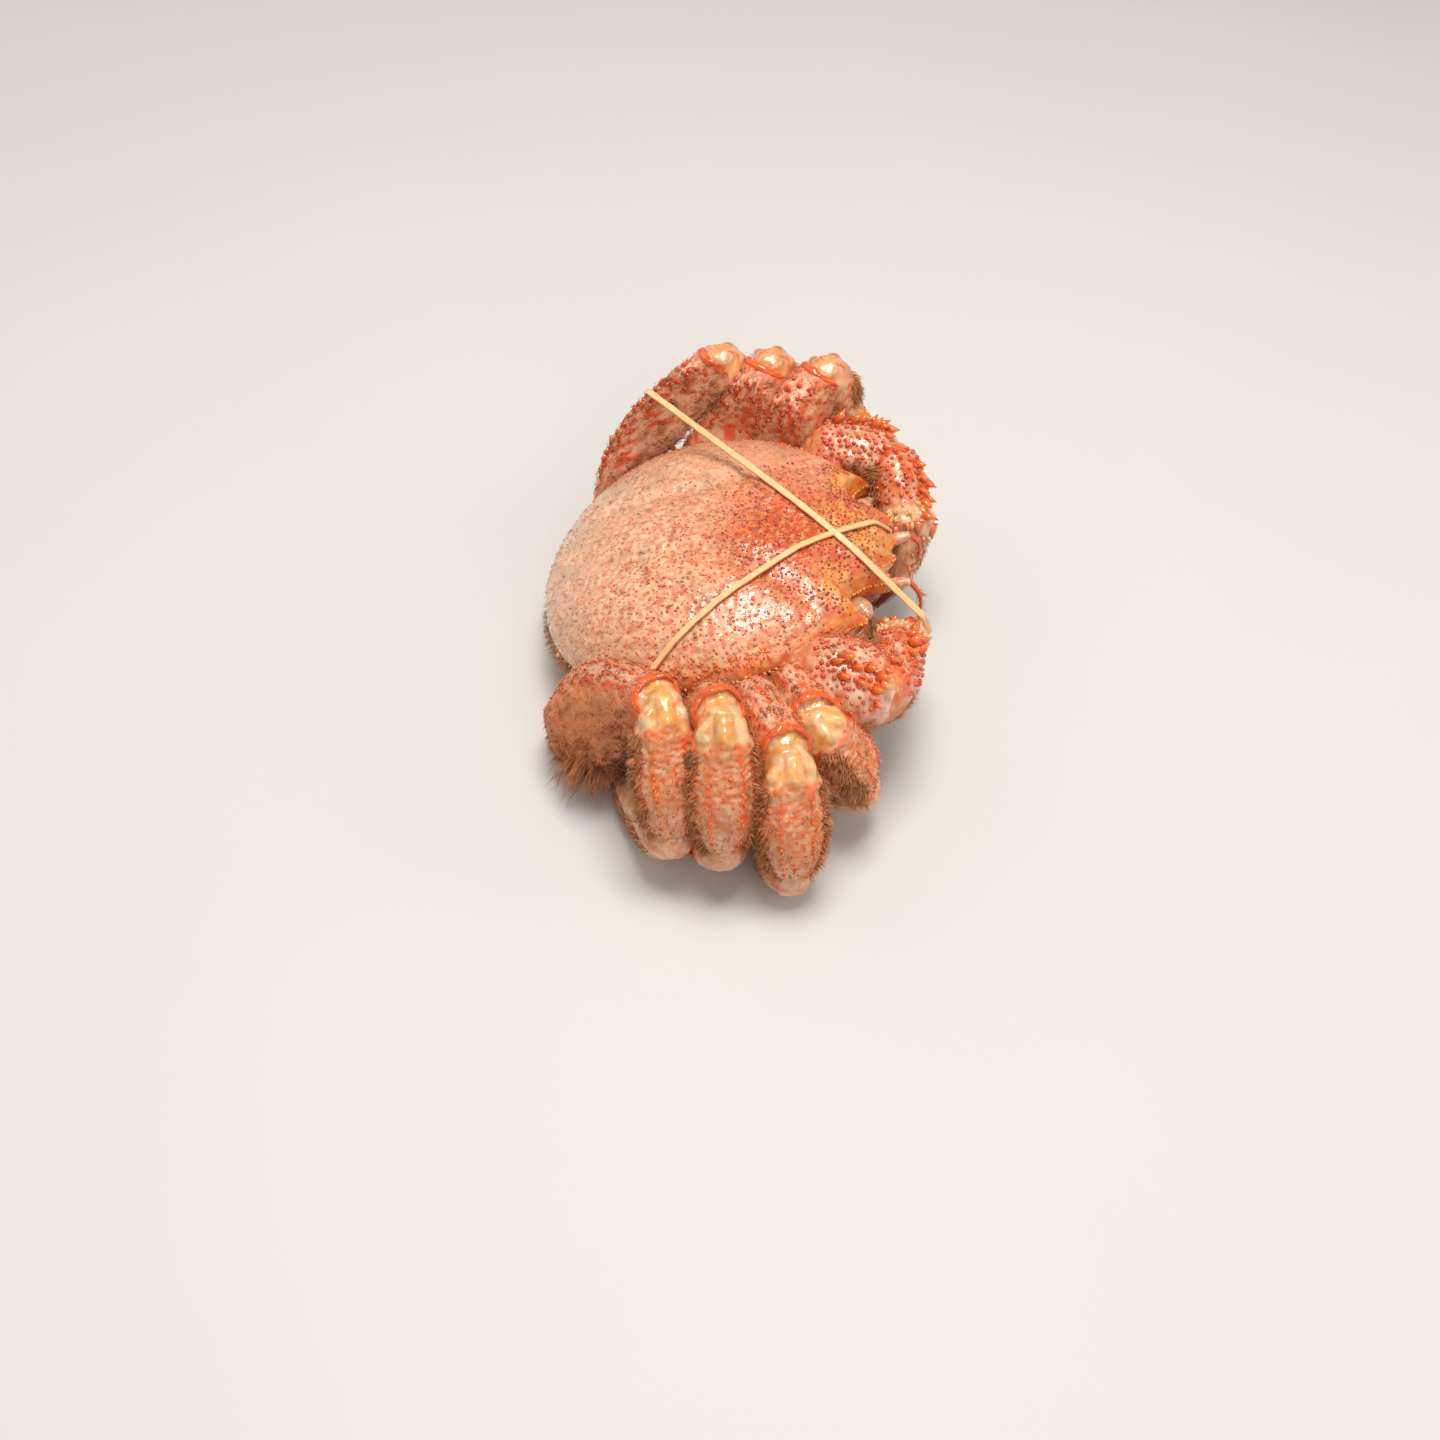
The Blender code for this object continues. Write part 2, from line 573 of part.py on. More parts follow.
def face_meshes(side):
    s = SIDES[side]
    shapes = {}
    for name, (root, tip, up, rows, half, sides) in FACE_PARTS.items():
        start, end = settle((s * root[0], *root[1:])), settle((s * tip[0], *tip[1:]))
        shapes[name] = Shape(start, end, up, rows, half, sides)
    bend = shapes["antenna"].end
    end = bend + Vector((s * WHIP_REACH[0], *WHIP_REACH[1:]))
    whip = loft("whip", Shape(bend - (end - bend) * 0.1, end, (0, 0, 1), WHIP_ROWS, WHIP_HALF, TIP_SIDES))
    meshes = {name + "_" + side: loft(name + "_" + side, shape) for name, shape in shapes.items()}
    meshes["antenna_" + side] = boolean(meshes["antenna_" + side], [whip], "UNION")
    return meshes


def spine(root, way, length, width):
    """Three-sided spine with its base sunk in the surface."""
    side = way.orthogonal().normalized()
    other = way.cross(side)
    vertices = [root + way * length]
    for k in range(3):
        angle = 2.0 * math.pi * k / 3
        out = side * math.cos(angle) + other * math.sin(angle)
        vertices.append(root - way * SINK + out * width)
    return mesh_from("spine", vertices, [(0, 1, 2), (0, 2, 3), (0, 3, 1), (3, 2, 1)])


def lock(root, normal, lie, length, width):
    """Flat tapered lock that stands up from its root and bends to its lie."""
    across = normal.cross(lie).normalized()
    first = (normal * 0.75 + lie * 0.65).normalized()
    second = (normal * 0.20 + lie).normalized()
    middle = root + first * (length * 0.5)
    vertices = []
    bend = (first + second).normalized()
    for centre, way, wide in ((root - first * SINK, first, 1.0), (middle, bend, 0.8)):
        thick = across.cross(way) * LOCK_HALF
        flat = across * (width / 2 * wide)
        vertices += [centre + flat + thick, centre - flat + thick]
        vertices += [centre - flat - thick, centre + flat - thick]
    vertices.append(middle + second * (length * 0.5))
    faces = [(3, 2, 1, 0)]
    for k in range(4):
        j = (k + 1) % 4
        faces += [(k, j, 4 + j, 4 + k), (4 + k, 4 + j, 8)]
    return mesh_from("lock", vertices, faces)


def tree_of(meshes):
    vertices, faces = [], []
    for mesh in meshes:
        base = len(vertices)
        vertices += [v.co[:] for v in mesh.vertices]
        faces += [[base + k for k in p.vertices] for p in mesh.polygons]
    return BVHTree.FromPolygons(vertices, faces)


def free_piece(make, length, others):
    """The longest piece that keeps clear of other nodes and the floor."""
    for share in TRIES:
        piece = make(length * share)
        wide = grown(piece, FREE_GAP)
        low = min(v.co.z for v in wide.vertices)
        if low > FLOOR_LEVEL and not tree_of([wide]).overlap(others):
            return piece
    return None


def surface_spot(tree, shape, place, angle):
    """Point and normal of a segment's surface, or None where it is cut away."""
    along, up, side, length = frame_of(shape)
    rows = shape.rows
    k = max(1, min(len(rows) - 1, sum(row[0] <= place for row in rows)))
    share = (place - rows[k - 1][0]) / (rows[k][0] - rows[k - 1][0])
    high, thick, lift = (a + (b - a) * share for a, b in zip(rows[k - 1][1:], rows[k][1:]))
    high, thick = high * shape.half[0], thick * shape.half[1]
    centre = shape.start + along * (place * length) + up * (lift * length)
    c, s = math.cos(angle), math.sin(angle)
    point = centre + up * (c * high) + side * (s * thick)
    normal = (up * (c * thick) + side * (s * high)).normalized()
    spot, facet, index, distance = tree.ray_cast(point + normal * 0.004, -normal, 0.006)
    if spot is None:
        return None
    return spot, normal


def segment_trim(mesh, shape, rows, flip, others, draw):
    """Spines and locks of one segment, in rows from its root to its tip."""
    tree = tree_of([mesh])
    along = frame_of(shape)[0]
    pieces = []
    for kind, degrees, start, end, count, length, width, lean in rows:
        for k in range(count):
            place = start + (end - start) * (k + 0.5 + draw.uniform(-0.2, 0.2)) / count
            angle = flip * math.radians(degrees + draw.uniform(-6, 6))
            spot = surface_spot(tree, shape, place, angle)
            size = length * draw.uniform(0.85, 1.15)
            if spot is None:
                continue
            root, normal = spot
            if kind == "spine":
                way = (normal + along * lean).normalized()
                piece = free_piece(lambda long: spine(root, way, long, width), size, others)
            else:
                lie = (along * lean + normal * (1.0 - abs(lean))).normalized()
                piece = free_piece(lambda long: lock(root, normal, lie, long, width), size, others)
            if piece:
                pieces.append(piece)
    return pieces


def margin_spot(share, sign):
    """Point and outward way on the carapace's margin, by share of its side."""
    half = [Vector((x * CARAPACE_LENGTH * sign, (y - 0.5) * CARAPACE_LENGTH, 0.0)) for x, y in OUTLINE]
    steps = [(b - a).length for a, b in zip(half, half[1:])]
    run = share * sum(steps)
    k = 0
    while run > steps[k]:
        run -= steps[k]
        k += 1
    point = half[k].lerp(half[k + 1], run / steps[k])
    ahead = (half[k + 1] - half[k]).normalized()
    out = Vector((-ahead.y * -sign, -ahead.x * sign, 0.0))
    point.z = margin_level(point.y)
    return point, out


def margin_teeth():
    """Spines along both sides of the carapace, smaller towards the rear."""
    turn = Matrix.Rotation(-BODY_PITCH, 3, "X")
    start, end, count, length, width = MARGIN_TEETH
    teeth = []
    for sign in SIDES.values():
        for k in range(count):
            point, out = margin_spot(start + (end - start) * k / (count - 1), sign)
            way = turn @ (out + Vector(TOOTH_LEAN)).normalized()
            teeth.append(spine(settle(point), way, length * (1.0 - TOOTH_TAPER * k / count), width))
    return teeth


def carapace_trim(mesh, others, draw):
    """Locks along the margin, and granules over the dome."""
    turn = Matrix.Rotation(-BODY_PITCH, 3, "X")
    pieces = []
    for sign in SIDES.values():
        start, end, count, length, width = MARGIN_LOCKS
        for k in range(count):
            point, out = margin_spot(start + (end - start) * (k + 0.5) / count, sign)
            point = settle(point - Vector((0, 0, FRINGE_DROP)))
            lie = turn @ (out + Vector(FRINGE_LIE)).normalized()
            normal = turn @ (out * FRINGE_RISE[0] + Vector((0, 0, FRINGE_RISE[1]))).normalized()
            pieces.append(free_piece(lambda long: lock(point, normal, lie, long, width), length, others))
    tree = tree_of([mesh])
    up = turn @ Vector((0, 0, 1))
    centre = (OUTLINE_CENTRE - 0.5) * CARAPACE_LENGTH
    for k in range(GRANULES):
        radius = math.sqrt((k + 0.5) / GRANULES) * CARAPACE_LENGTH
        angle = k * GOLDEN_ANGLE
        x = GRANULE_AREA[0] * radius * math.cos(angle)
        y = centre + GRANULE_AREA[1] * radius * math.sin(angle)
        spot, normal, index, distance = tree.ray_cast(settle((x, y, 0.05)), -up)
        length, width = GRANULE_SIZE
        size = length * draw.uniform(0.9, 1.2)
        pieces.append(free_piece(lambda long: spine(spot, normal, long, width), size, others))
    return [piece for piece in pieces if piece]


def band_mesh(name, marks, shapes):
    """Taut loop: the hull of everything the band's plane cuts."""
    a, b, c = (Vector(p) for p in marks)
    normal = (b - a).cross(c - a).normalized()
    across = (b - a).normalized()
    rise = normal.cross(across)
    flat = []
    for mesh in shapes:
        work = bmesh.new()
        work.from_mesh(mesh)
        for sign in (1.0, -1.0):
            geometry = list(work.verts) + list(work.edges) + list(work.faces)
            bmesh.ops.bisect_plane(work, geom=geometry, plane_co=a + normal * (sign * BAND_WIDTH / 2),
                                   plane_no=normal * sign, clear_outer=True)
        for v in work.verts:
            place = v.co.copy()
            place.z = max(place.z, FLOOR_LEVEL + BAND_FLOOR)
            flat.append(Vector(((place - a).dot(across), (place - a).dot(rise))))
        work.free()
    order = convex_hull_2d(flat)
    loop = [flat[k] for k in order]
    dense = []
    for p, q in zip(loop, loop[1:] + loop[:1]):
        steps = max(1, int((q - p).length / BAND_STEP))
        dense += [p.lerp(q, k / steps) for k in range(steps)]
    thin = [dense[0]]
    skipped = []
    for p in dense[1:]:
        chord = p - thin[-1]
        off = max((abs(chord.cross(q - thin[-1])) / chord.length for q in skipped), default=0.0)
        if off > BAND_SLACK:
            thin.append(skipped[-1])
            skipped = []
        skipped.append(p)
    middle = sum(thin, Vector((0, 0))) / len(thin)
    vertices, faces = [], []
    count = len(thin)
    for k, p in enumerate(thin):
        ahead = (thin[(k + 1) % count] - thin[k - 1]).normalized()
        out = Vector((ahead.y, -ahead.x))
        if out.dot(p - middle) < 0:
            out = -out
        for depth, width in ((0.0, -1), (BAND_THICKNESS, -1), (BAND_THICKNESS, 1), (0.0, 1)):
            q = p + out * (depth + JOINT_GAP * 0.2)
            vertices.append(a + across * q.x + rise * q.y + normal * (width * BAND_WIDTH / 2))
    for k in range(count):
        j = (k + 1) % count
        for m in range(4):
            n = (m + 1) % 4
            faces.append((k * 4 + m, k * 4 + n, j * 4 + n, j * 4 + m))
    return mesh_from(name, vertices, faces)


def material_for(name, colour, rough):
    material = bpy.data.materials.new(name)
    material.use_nodes = True
    shader = material.node_tree.nodes["Principled BSDF"]
    shader.inputs["Base Color"].default_value = (*colour, 1.0)
    shader.inputs["Roughness"].default_value = rough
    return material


def floor_block():
    work = bmesh.new()
    bmesh.ops.create_cube(work, size=FLOOR_SIZE)
    bmesh.ops.translate(work, verts=work.verts, vec=(0.0, 0.0, FLOOR_LEVEL - FLOOR_SIZE / 2))
    mesh = bpy.data.meshes.new("floor_block")
    work.to_mesh(mesh)
    work.free()
    return mesh


def plain_solids():
    """Every node as a smooth closed solid, and the shapes they were made from."""
    shapes = {}
    plain = {"carapace": carapace_mesh(), "thorax": thorax_mesh(), "abdomen": flap_mesh()}
    for side in SIDES:
        shapes.update(claw_shapes(side))
    for pair in (5, 4, 3, 2):
        for side in SIDES:
            shapes.update(leg_shapes(side, pair))
    for side in SIDES:
        plain.update(face_meshes(side))
    plain.update({name: loft(name, shape) for name, shape in shapes.items()})
    plain["carapace"] = fuse(plain["carapace"], margin_teeth())
    for side in SIDES:
        palm = "claw_palm_" + side
        plain[palm] = boolean(plain[palm], [fixed_finger(side)], "UNION")
    return plain, shapes


def part_solids(plain):
    """Tie the bands round the solids and cut each solid clear of those before it."""
    swollen = {name: grown(mesh, JOINT_GAP) for name, mesh in plain.items()}
    bands = {}
    for key, marks in BAND_POINTS.items():
        name = "rubber_band_" + key
        held = [mesh for other, mesh in swollen.items() if other.startswith(BAND_HOLDS[key])]
        bands[name] = band_mesh(name, marks, held)
    over = grown(bands["rubber_band_a"], JOINT_GAP)
    bands["rubber_band_b"] = boolean(bands["rubber_band_b"], [over], "DIFFERENCE")
    for name, mesh in bands.items():
        plain[name] = mesh
        swollen[name] = grown(mesh, JOINT_GAP)
    order = list(bands) + [name for name in plain if name not in bands]
    boxes = {name: box_of(mesh) for name, mesh in swollen.items()}
    floor = floor_block()
    finished = {}
    for k, name in enumerate(order):
        cutters = [swollen[other] for other in order[:k] if near(boxes[name], boxes[other], JOINT_GAP)]
        if name in bands:
            cutters = []
        if box_of(plain[name])[0][2] < FLOOR_LEVEL:
            cutters.append(floor)
        finished[name] = merge_flat(boolean(plain[name], cutters, "DIFFERENCE"))
    return finished


def trim_solids(finished, shapes):
    """Grow the spines, teeth and bristle locks on the solids."""
    draw = random.Random(SEED)
    for name in list(finished):
        others = tree_of([mesh for other, mesh in finished.items() if other != name])
        mesh = finished[name]
        pieces = []
        if name == "carapace":
            pieces = carapace_trim(mesh, others, draw)
        elif name in shapes:
            side = name.rsplit("_", 1)[1]
            kind = name.rsplit("_", 1)[0]
            rows = CLAW_TRIM.get(kind) or LEG_TRIM[kind.split("_")[1]]
            if name.startswith("leg5_merus"):
                rows = rows + LOBE_TRIM
            pieces = segment_trim(mesh, shapes[name], rows, SIDES[side], others, draw)
        finished[name] = fuse(mesh, pieces)
    return finished


def build():
    clear_scene()
    plain, shapes = plain_solids()
    return trim_solids(part_solids(plain), shapes)


def kind_colour(name):
    for key, colour in (("carapace", "shell"), ("thorax", "under"), ("abdomen", "under"), ("leg", "leg"),
                        ("claw", "claw"), ("maxilliped", "mouth"), ("eye", "eye"), ("antenna", "antenna"),
                        ("rubber", "band")):
        if name.startswith(key):
            return COLOURS[colour]
    return COLOURS["shell"]


def main():
    finished = build()
    collection = bpy.data.collections.new("horsehair_crab")
    bpy.context.scene.collection.children.link(collection)
    low = np.min([box_of(mesh)[0] for mesh in finished.values()], axis=0)
    high = np.max([box_of(mesh)[1] for mesh in finished.values()], axis=0)
    shift = Matrix.Translation((-(low[0] + high[0]) / 2, -(low[1] + high[1]) / 2, -low[2]))
    for name, mesh in finished.items():
        mesh.transform(shift)
        item = bpy.data.objects.new(name, mesh)
        mesh.name = name
        mesh.materials.clear()
        mesh.materials.append(material_for(name, kind_colour(name), 0.45))
        collection.objects.link(item)


main()
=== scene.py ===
"""Horsehair crab, boiled, legs folded under the body and tied with two flat rubber bands.

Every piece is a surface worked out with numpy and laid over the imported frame, in metres. The level
crab faces -Y with its left side at +X; settle() pitches and lifts it, and PLACE moves it to the frame.
"""

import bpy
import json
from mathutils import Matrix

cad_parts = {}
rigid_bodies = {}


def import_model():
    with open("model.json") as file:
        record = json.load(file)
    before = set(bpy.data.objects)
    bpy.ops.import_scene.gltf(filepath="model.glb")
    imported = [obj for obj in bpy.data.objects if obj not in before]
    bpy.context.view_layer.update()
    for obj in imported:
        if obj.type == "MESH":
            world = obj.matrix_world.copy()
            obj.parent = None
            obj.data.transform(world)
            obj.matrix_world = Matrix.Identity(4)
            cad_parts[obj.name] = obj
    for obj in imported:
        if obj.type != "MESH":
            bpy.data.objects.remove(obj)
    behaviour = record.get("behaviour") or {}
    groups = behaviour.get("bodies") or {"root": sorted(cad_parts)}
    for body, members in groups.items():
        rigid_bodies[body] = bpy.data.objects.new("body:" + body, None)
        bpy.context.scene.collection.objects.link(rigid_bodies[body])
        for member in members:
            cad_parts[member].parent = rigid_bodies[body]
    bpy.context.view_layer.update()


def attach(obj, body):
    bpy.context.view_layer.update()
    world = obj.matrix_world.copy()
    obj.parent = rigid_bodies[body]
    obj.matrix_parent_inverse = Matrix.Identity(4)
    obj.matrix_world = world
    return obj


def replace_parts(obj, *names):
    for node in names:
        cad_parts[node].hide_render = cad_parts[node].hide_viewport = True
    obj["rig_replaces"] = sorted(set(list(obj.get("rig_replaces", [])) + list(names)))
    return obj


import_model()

import json
import math
from collections import namedtuple

import bpy
import numpy as np
from bpy.props import FloatProperty, FloatVectorProperty, IntProperty, PointerProperty
from mathutils import Matrix, Vector
from mathutils.geometry import convex_hull_2d

bl_info = {
    "name": "Horsehair Crab",
    "version": (1, 0, 0),
    "blender": (4, 5, 0),
    "location": "View3D > Sidebar > Crab",
    "description": "Builds the shell, limbs, bristles and bands of a horsehair crab on its packed frame",
    "category": "Add Mesh",
}

# Where the level crab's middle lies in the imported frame, the floor's level in the crab's own metres, and
# the lowest level of any point in the frame
PLACE = np.array((0.009316, 0.0083814, -0.0008))
FLOOR_LEVEL = 0.0008
LOWEST = 0.00003

# Body
LENGTH = 0.1048
DOME_HEIGHT = 0.0171
MARGIN_DROOP = 0.0119
PITCH = math.radians(17.0)
LIFT = 0.0368
CENTRE_Y = 0.03 * LENGTH
# Oval that the outline blends into towards the crown: half width and half length, with the powers of the
# share of the way to the outline that the blend and the dome follow
OVAL_HALF = (0.455 * LENGTH, 0.49 * LENGTH)
BLEND_POWER = 9
DOME_POWER = 2.4
# Share of the way to the outline past which a limb is clear of the shell, and its least gap under it
CLEAR_SHARE = 1.012
SHELL_GAP = 0.0004
OUTLINE = (
    (0.000, 0.022), (0.034, 0.000), (0.066, 0.034), (0.125, 0.010),
    (0.142, 0.075), (0.185, 0.125), (0.228, 0.112), (0.272, 0.068),
    (0.292, 0.112), (0.330, 0.150), (0.372, 0.205), (0.408, 0.262),
    (0.438, 0.330), (0.458, 0.400), (0.470, 0.480), (0.470, 0.560),
    (0.458, 0.640), (0.432, 0.720), (0.388, 0.800), (0.325, 0.870),
    (0.245, 0.930), (0.160, 0.970), (0.080, 0.992), (0.000, 1.000))
UNDER_ROWS = ((0.0, 1.0, 0.0), (0.12, 0.985, 0.0026), (0.30, 0.935, 0.0066), (0.50, 0.850, 0.0100),
              (0.75, 0.700, 0.0125), (1.0, 0.400, 0.0130))
THORAX_ROWS = (
    (-0.0465, -0.0085, -0.0120, 0.0130), (-0.0400, -0.0080, -0.0150, 0.0190),
    (-0.0300, -0.0080, -0.0195, 0.0235), (-0.0200, -0.0090, -0.0222, 0.0260),
    (0.0000, -0.0100, -0.0225, 0.0280), (0.0130, -0.0105, -0.0225, 0.0288),
    (0.0280, -0.0105, -0.0225, 0.0270), (0.0400, -0.0115, -0.0215, 0.0200),
    (0.0460, -0.0130, -0.0200, 0.0120))
FURROWS = (-0.030, -0.018, -0.006, 0.007, 0.020, 0.033)
STUB_ROWS = ((0.0, 0.8, 0.8, 0), (0.3, 1, 1, 0), (0.85, 1.0, 0.95, 0), (1, 0.7, 0.7, 0))
STUB_HALF = 0.0062
FLAP_THICKNESS = 0.0026
FLAP_HALF_WIDTH = 0.0150
FLAP_PATH = (
    (0.0470, -0.0090, 0.80), (0.0500, -0.0128, 0.95), (0.0497, -0.0178, 1.00), (0.0460, -0.0226, 0.97),
    (0.0385, -0.0238, 0.94), (0.0375, -0.0238, 0.86), (0.0290, -0.0240, 0.82), (0.0280, -0.0240, 0.74),
    (0.0190, -0.0240, 0.70), (0.0180, -0.0240, 0.62), (0.0090, -0.0240, 0.58), (0.0080, -0.0240, 0.50),
    (-0.0040, -0.0239, 0.44), (-0.0140, -0.0234, 0.18))

# Legs: length of the stub, merus, carpus, propodus and dactylus, root, and
# for each of them its turn from straight out to the rear and its rise
LEG_LENGTHS = {
    2: (0.0097, 0.0413, 0.0302, 0.0270, 0.0268),
    3: (0.0108, 0.0530, 0.0360, 0.0308, 0.0306),
    4: (0.0113, 0.0545, 0.0375, 0.0322, 0.0312),
    5: (0.0200, 0.0540, 0.0370, 0.0330, 0.0285)}
LEG_BASES = {2: (0.021, -0.007, -0.0145), 3: (0.022, 0.004, -0.0155),
             4: (0.021, 0.018, -0.0155), 5: (0.022, 0.036, -0.015)}
LEG_POSE = {
    ("left", 2): ((-27, 13), (-29, 28), (-69, -66), (158, -30), (167, -6)),
    ("left", 3): ((-20, 13), (-44, 47), (-14, -70), (155, -45), (164, -6)),
    ("left", 4): ((-32, 22), (-35, 51), (-13, -70), (156, -43), (171, -6)),
    ("left", 5): ((15, 47), (-58, 47), (-14, -72), (139, -52), (144, -7)),
    ("right", 2): ((-24, 12), (-26, 24), (-82, -62), (158, -26), (162, -6)),
    ("right", 3): ((-21, 6), (-25, 24), (-13, -68), (167, -6), (167, -5)),
    ("right", 4): ((-15, 22), (-23, 35), (-8, -64), (164, -22), (166, -5)),
    ("right", 5): ((18, 3), (-47, 44), (-12, -59), (150, -21), (134, -9))}
LEG_KINDS = ("merus", "carpus", "propodus", "dactylus")

# Rows along a segment: place, half height, half thickness, lift
ROWS = {
    "merus": ((-0.06, 0.50, 0.60, 0.0), (0.05, 0.82, 0.84, 0.0), (0.34, 1.08, 1.00, 0.03),
              (0.72, 1.02, 1.02, 0.03), (0.93, 0.78, 0.88, 0.0), (1.03, 0.56, 0.68, -0.01)),
    "carpus": ((-0.07, 0.46, 0.50, 0.0), (0.03, 0.78, 0.74, 0.0), (0.26, 0.97, 0.96, 0.02),
               (0.58, 1.02, 1.02, 0.04), (0.88, 0.74, 0.74, 0.02), (1.01, 0.40, 0.42, 0.0)),
    "propodus": ((-0.12, 0.60, 0.66, 0.0), (0.0, 0.98, 1.02, 0.0), (0.40, 1.02, 1.00, 0.04),
                 (0.80, 0.84, 0.80, 0.02), (1.00, 0.52, 0.52, 0.0)),
    "dactylus": ((-0.08, 0.75, 0.75, 0.0), (0.08, 1.00, 1.00, 0.0), (0.48, 0.74, 0.74, 0.06),
                 (0.84, 0.36, 0.36, 0.03), (1.00, 0.14, 0.14, -0.03)),
    "claw_merus": ((0.10, 0.62, 0.62, 0.0), (0.40, 0.92, 0.92, 0.0), (0.75, 1.00, 1.00, 0.0),
                   (1.02, 0.82, 0.86, 0.0)),
    "claw_carpus": ((-0.22, 0.42, 0.42, 0.0), (-0.05, 0.78, 0.78, 0.0), (0.22, 0.96, 0.95, 0.02),
                    (0.60, 1.00, 1.00, 0.04), (0.90, 0.90, 0.92, 0.02), (1.06, 0.66, 0.70, 0.0)),
    "claw_palm": ((-0.16, 0.46, 0.50, 0.0), (0.0, 0.80, 0.84, 0.0), (0.30, 1.00, 1.00, 0.02),
                  (0.65, 1.00, 0.98, 0.02), (0.95, 0.80, 0.84, 0.0), (1.06, 0.55, 0.60, 0.0)),
    "claw_finger": ((-0.20, 0.80, 0.90, 0.0), (0.10, 1.00, 1.00, 0.0), (0.45, 0.82, 0.80, 0.04),
                    (0.80, 0.46, 0.48, 0.02), (1.00, 0.16, 0.20, -0.06))}
HALF = {
    "merus": (0.0104, 0.0078), "carpus": (0.0086, 0.0083), "propodus": (0.0064, 0.0066),
    "dactylus": (0.0042, 0.0038), "claw_merus": (0.0095, 0.0080),
    "claw_palm": (0.0105, 0.0080), "claw_finger": (0.0046, 0.0048)}
CLAW_CARPUS_HALF = {"left": (0.0086, 0.0094), "right": (0.0110, 0.0105)}
LEG_SCALE = {2: 0.93, 3: 1.0, 4: 1.0, 5: 1.0}
NARROW_MERUS = {("left", 5): 0.76}
CLAW_JOINTS = {
    "right": ((0.022, -0.021, 0.0290), (0.0460, -0.0290, 0.0430), (0.0500, -0.0485, 0.0405),
              (0.0235, -0.0540, 0.0310), (0.0070, -0.0500, 0.0110)),
    "left": ((0.022, -0.021, 0.0290), (0.0430, -0.0290, 0.0450), (0.0400, -0.0495, 0.0455),
             (0.0190, -0.0560, 0.0335), (0.0070, -0.0490, 0.0125))}
FINGER_APART = np.array((0.0, -0.0033, 0.0035))
FINGER_UP = (0, -1, 0.4)

# Face, level, left side
EYE = ((0.0140, -0.0375, -0.0085), (0.0220, -0.0435, -0.0076), 0.0029)
FEELER = ((0.0085, -0.0440, -0.0115), (0.0095, -0.0555, -0.0105), (0.0025, -0.0040, -0.0140), 0.0020)
# Bowl behind each eye, dark as painted shade of the eye's hollow: middle and half sizes
ORBIT = ((0.0240, -0.0365, -0.0120), (0.0120, 0.0080, 0.0075))
MOUTH_PLATE = ((0.0061, -0.0205, -0.0236), (0.0061, -0.0460, -0.0130), (0.0026, 0.0056))
MOUTH_ROWS = ((0.0, 0.60, 0.60, 0), (0.12, 1.0, 0.92, 0.01), (0.48, 1.0, 1.0, 0.02), (0.53, 0.80, 0.90, 0.02),
              (0.58, 1.0, 0.88, 0.02), (0.86, 0.9, 0.70, 0.01), (1.0, 0.5, 0.45, 0))

# Bands: three points of each band's plane, the first two along its top run
BAND_POINTS = {
    "a": ((0.0460, 0.0180, 0.0520), (-0.0049, -0.0342, 0.0548), (-0.0135, -0.0470, 0.0485)),
    "b": ((-0.0355, 0.0009, 0.0488), (-0.0048, -0.0342, 0.0545), (0.0068, -0.0485, 0.0472))}
BAND_HOLDS = {"a": ("carapace", "thorax", "abdomen", "maxilliped", "claw", "leg"),
              "b": ("carapace", "thorax", "abdomen", "maxilliped")}
BAND_FLOOR = 0.0026
BAND_STEP = 0.0012

SIDES = {"left": 1.0, "right": -1.0}
TURN = 2.0 * math.pi
GOLDEN_ANGLE = math.radians(137.508)
GOLDEN_SHARE = 0.618034


def srgb(red, green, blue):
    """Linear colour of a display colour given from 0 to 255."""
    shares = np.array((red, green, blue), float) / 255.0
    return tuple(np.where(shares < 0.04045, shares / 12.92, ((shares + 0.055) / 1.055) ** 2.4))


def length_property(name, description, value):
    return FloatProperty(name=name, description=description, default=value, min=0.0, unit="LENGTH",
                         subtype="DISTANCE", precision=5)


def power_property(name, description, value):
    return FloatProperty(name=name, description=description, default=value, min=0.0, unit="POWER")


def colour_property(name, description, value):
    return FloatVectorProperty(name=name, description=description, default=value, size=3, min=0.0, max=1.0,
                               subtype="COLOR")


class CRAB_PG_sizes(bpy.types.PropertyGroup):
    """Sizes a user would change."""
    granule_width: length_property("Granule width", "Half width of a granule on the back", 0.00042)
    granule_height: length_property("Granule height", "Height of a granule on the back", 0.00042)
    granules: IntProperty(name="Granules", description="Granules over the back", default=3600, min=10)
    limb_spine: length_property("Limb spine", "Length of a spine on the legs", 0.00135)
    bead: length_property("Claw bead", "Half width of a bead on the claws", 0.00064)
    knee_rim: length_property("Knee rim", "Half width of the red rim above a knee", 0.00115)
    bristle_width: length_property("Bristle width", "Half width of a bristle at its root", 0.00008)
    bristle_length: length_property("Bristle length", "Length of an ordinary bristle", 0.00200)
    band_width: length_property("Band width", "Width of a rubber band", 0.0018)
    band_thickness: length_property("Band thickness", "Thickness of a rubber band", 0.0009)


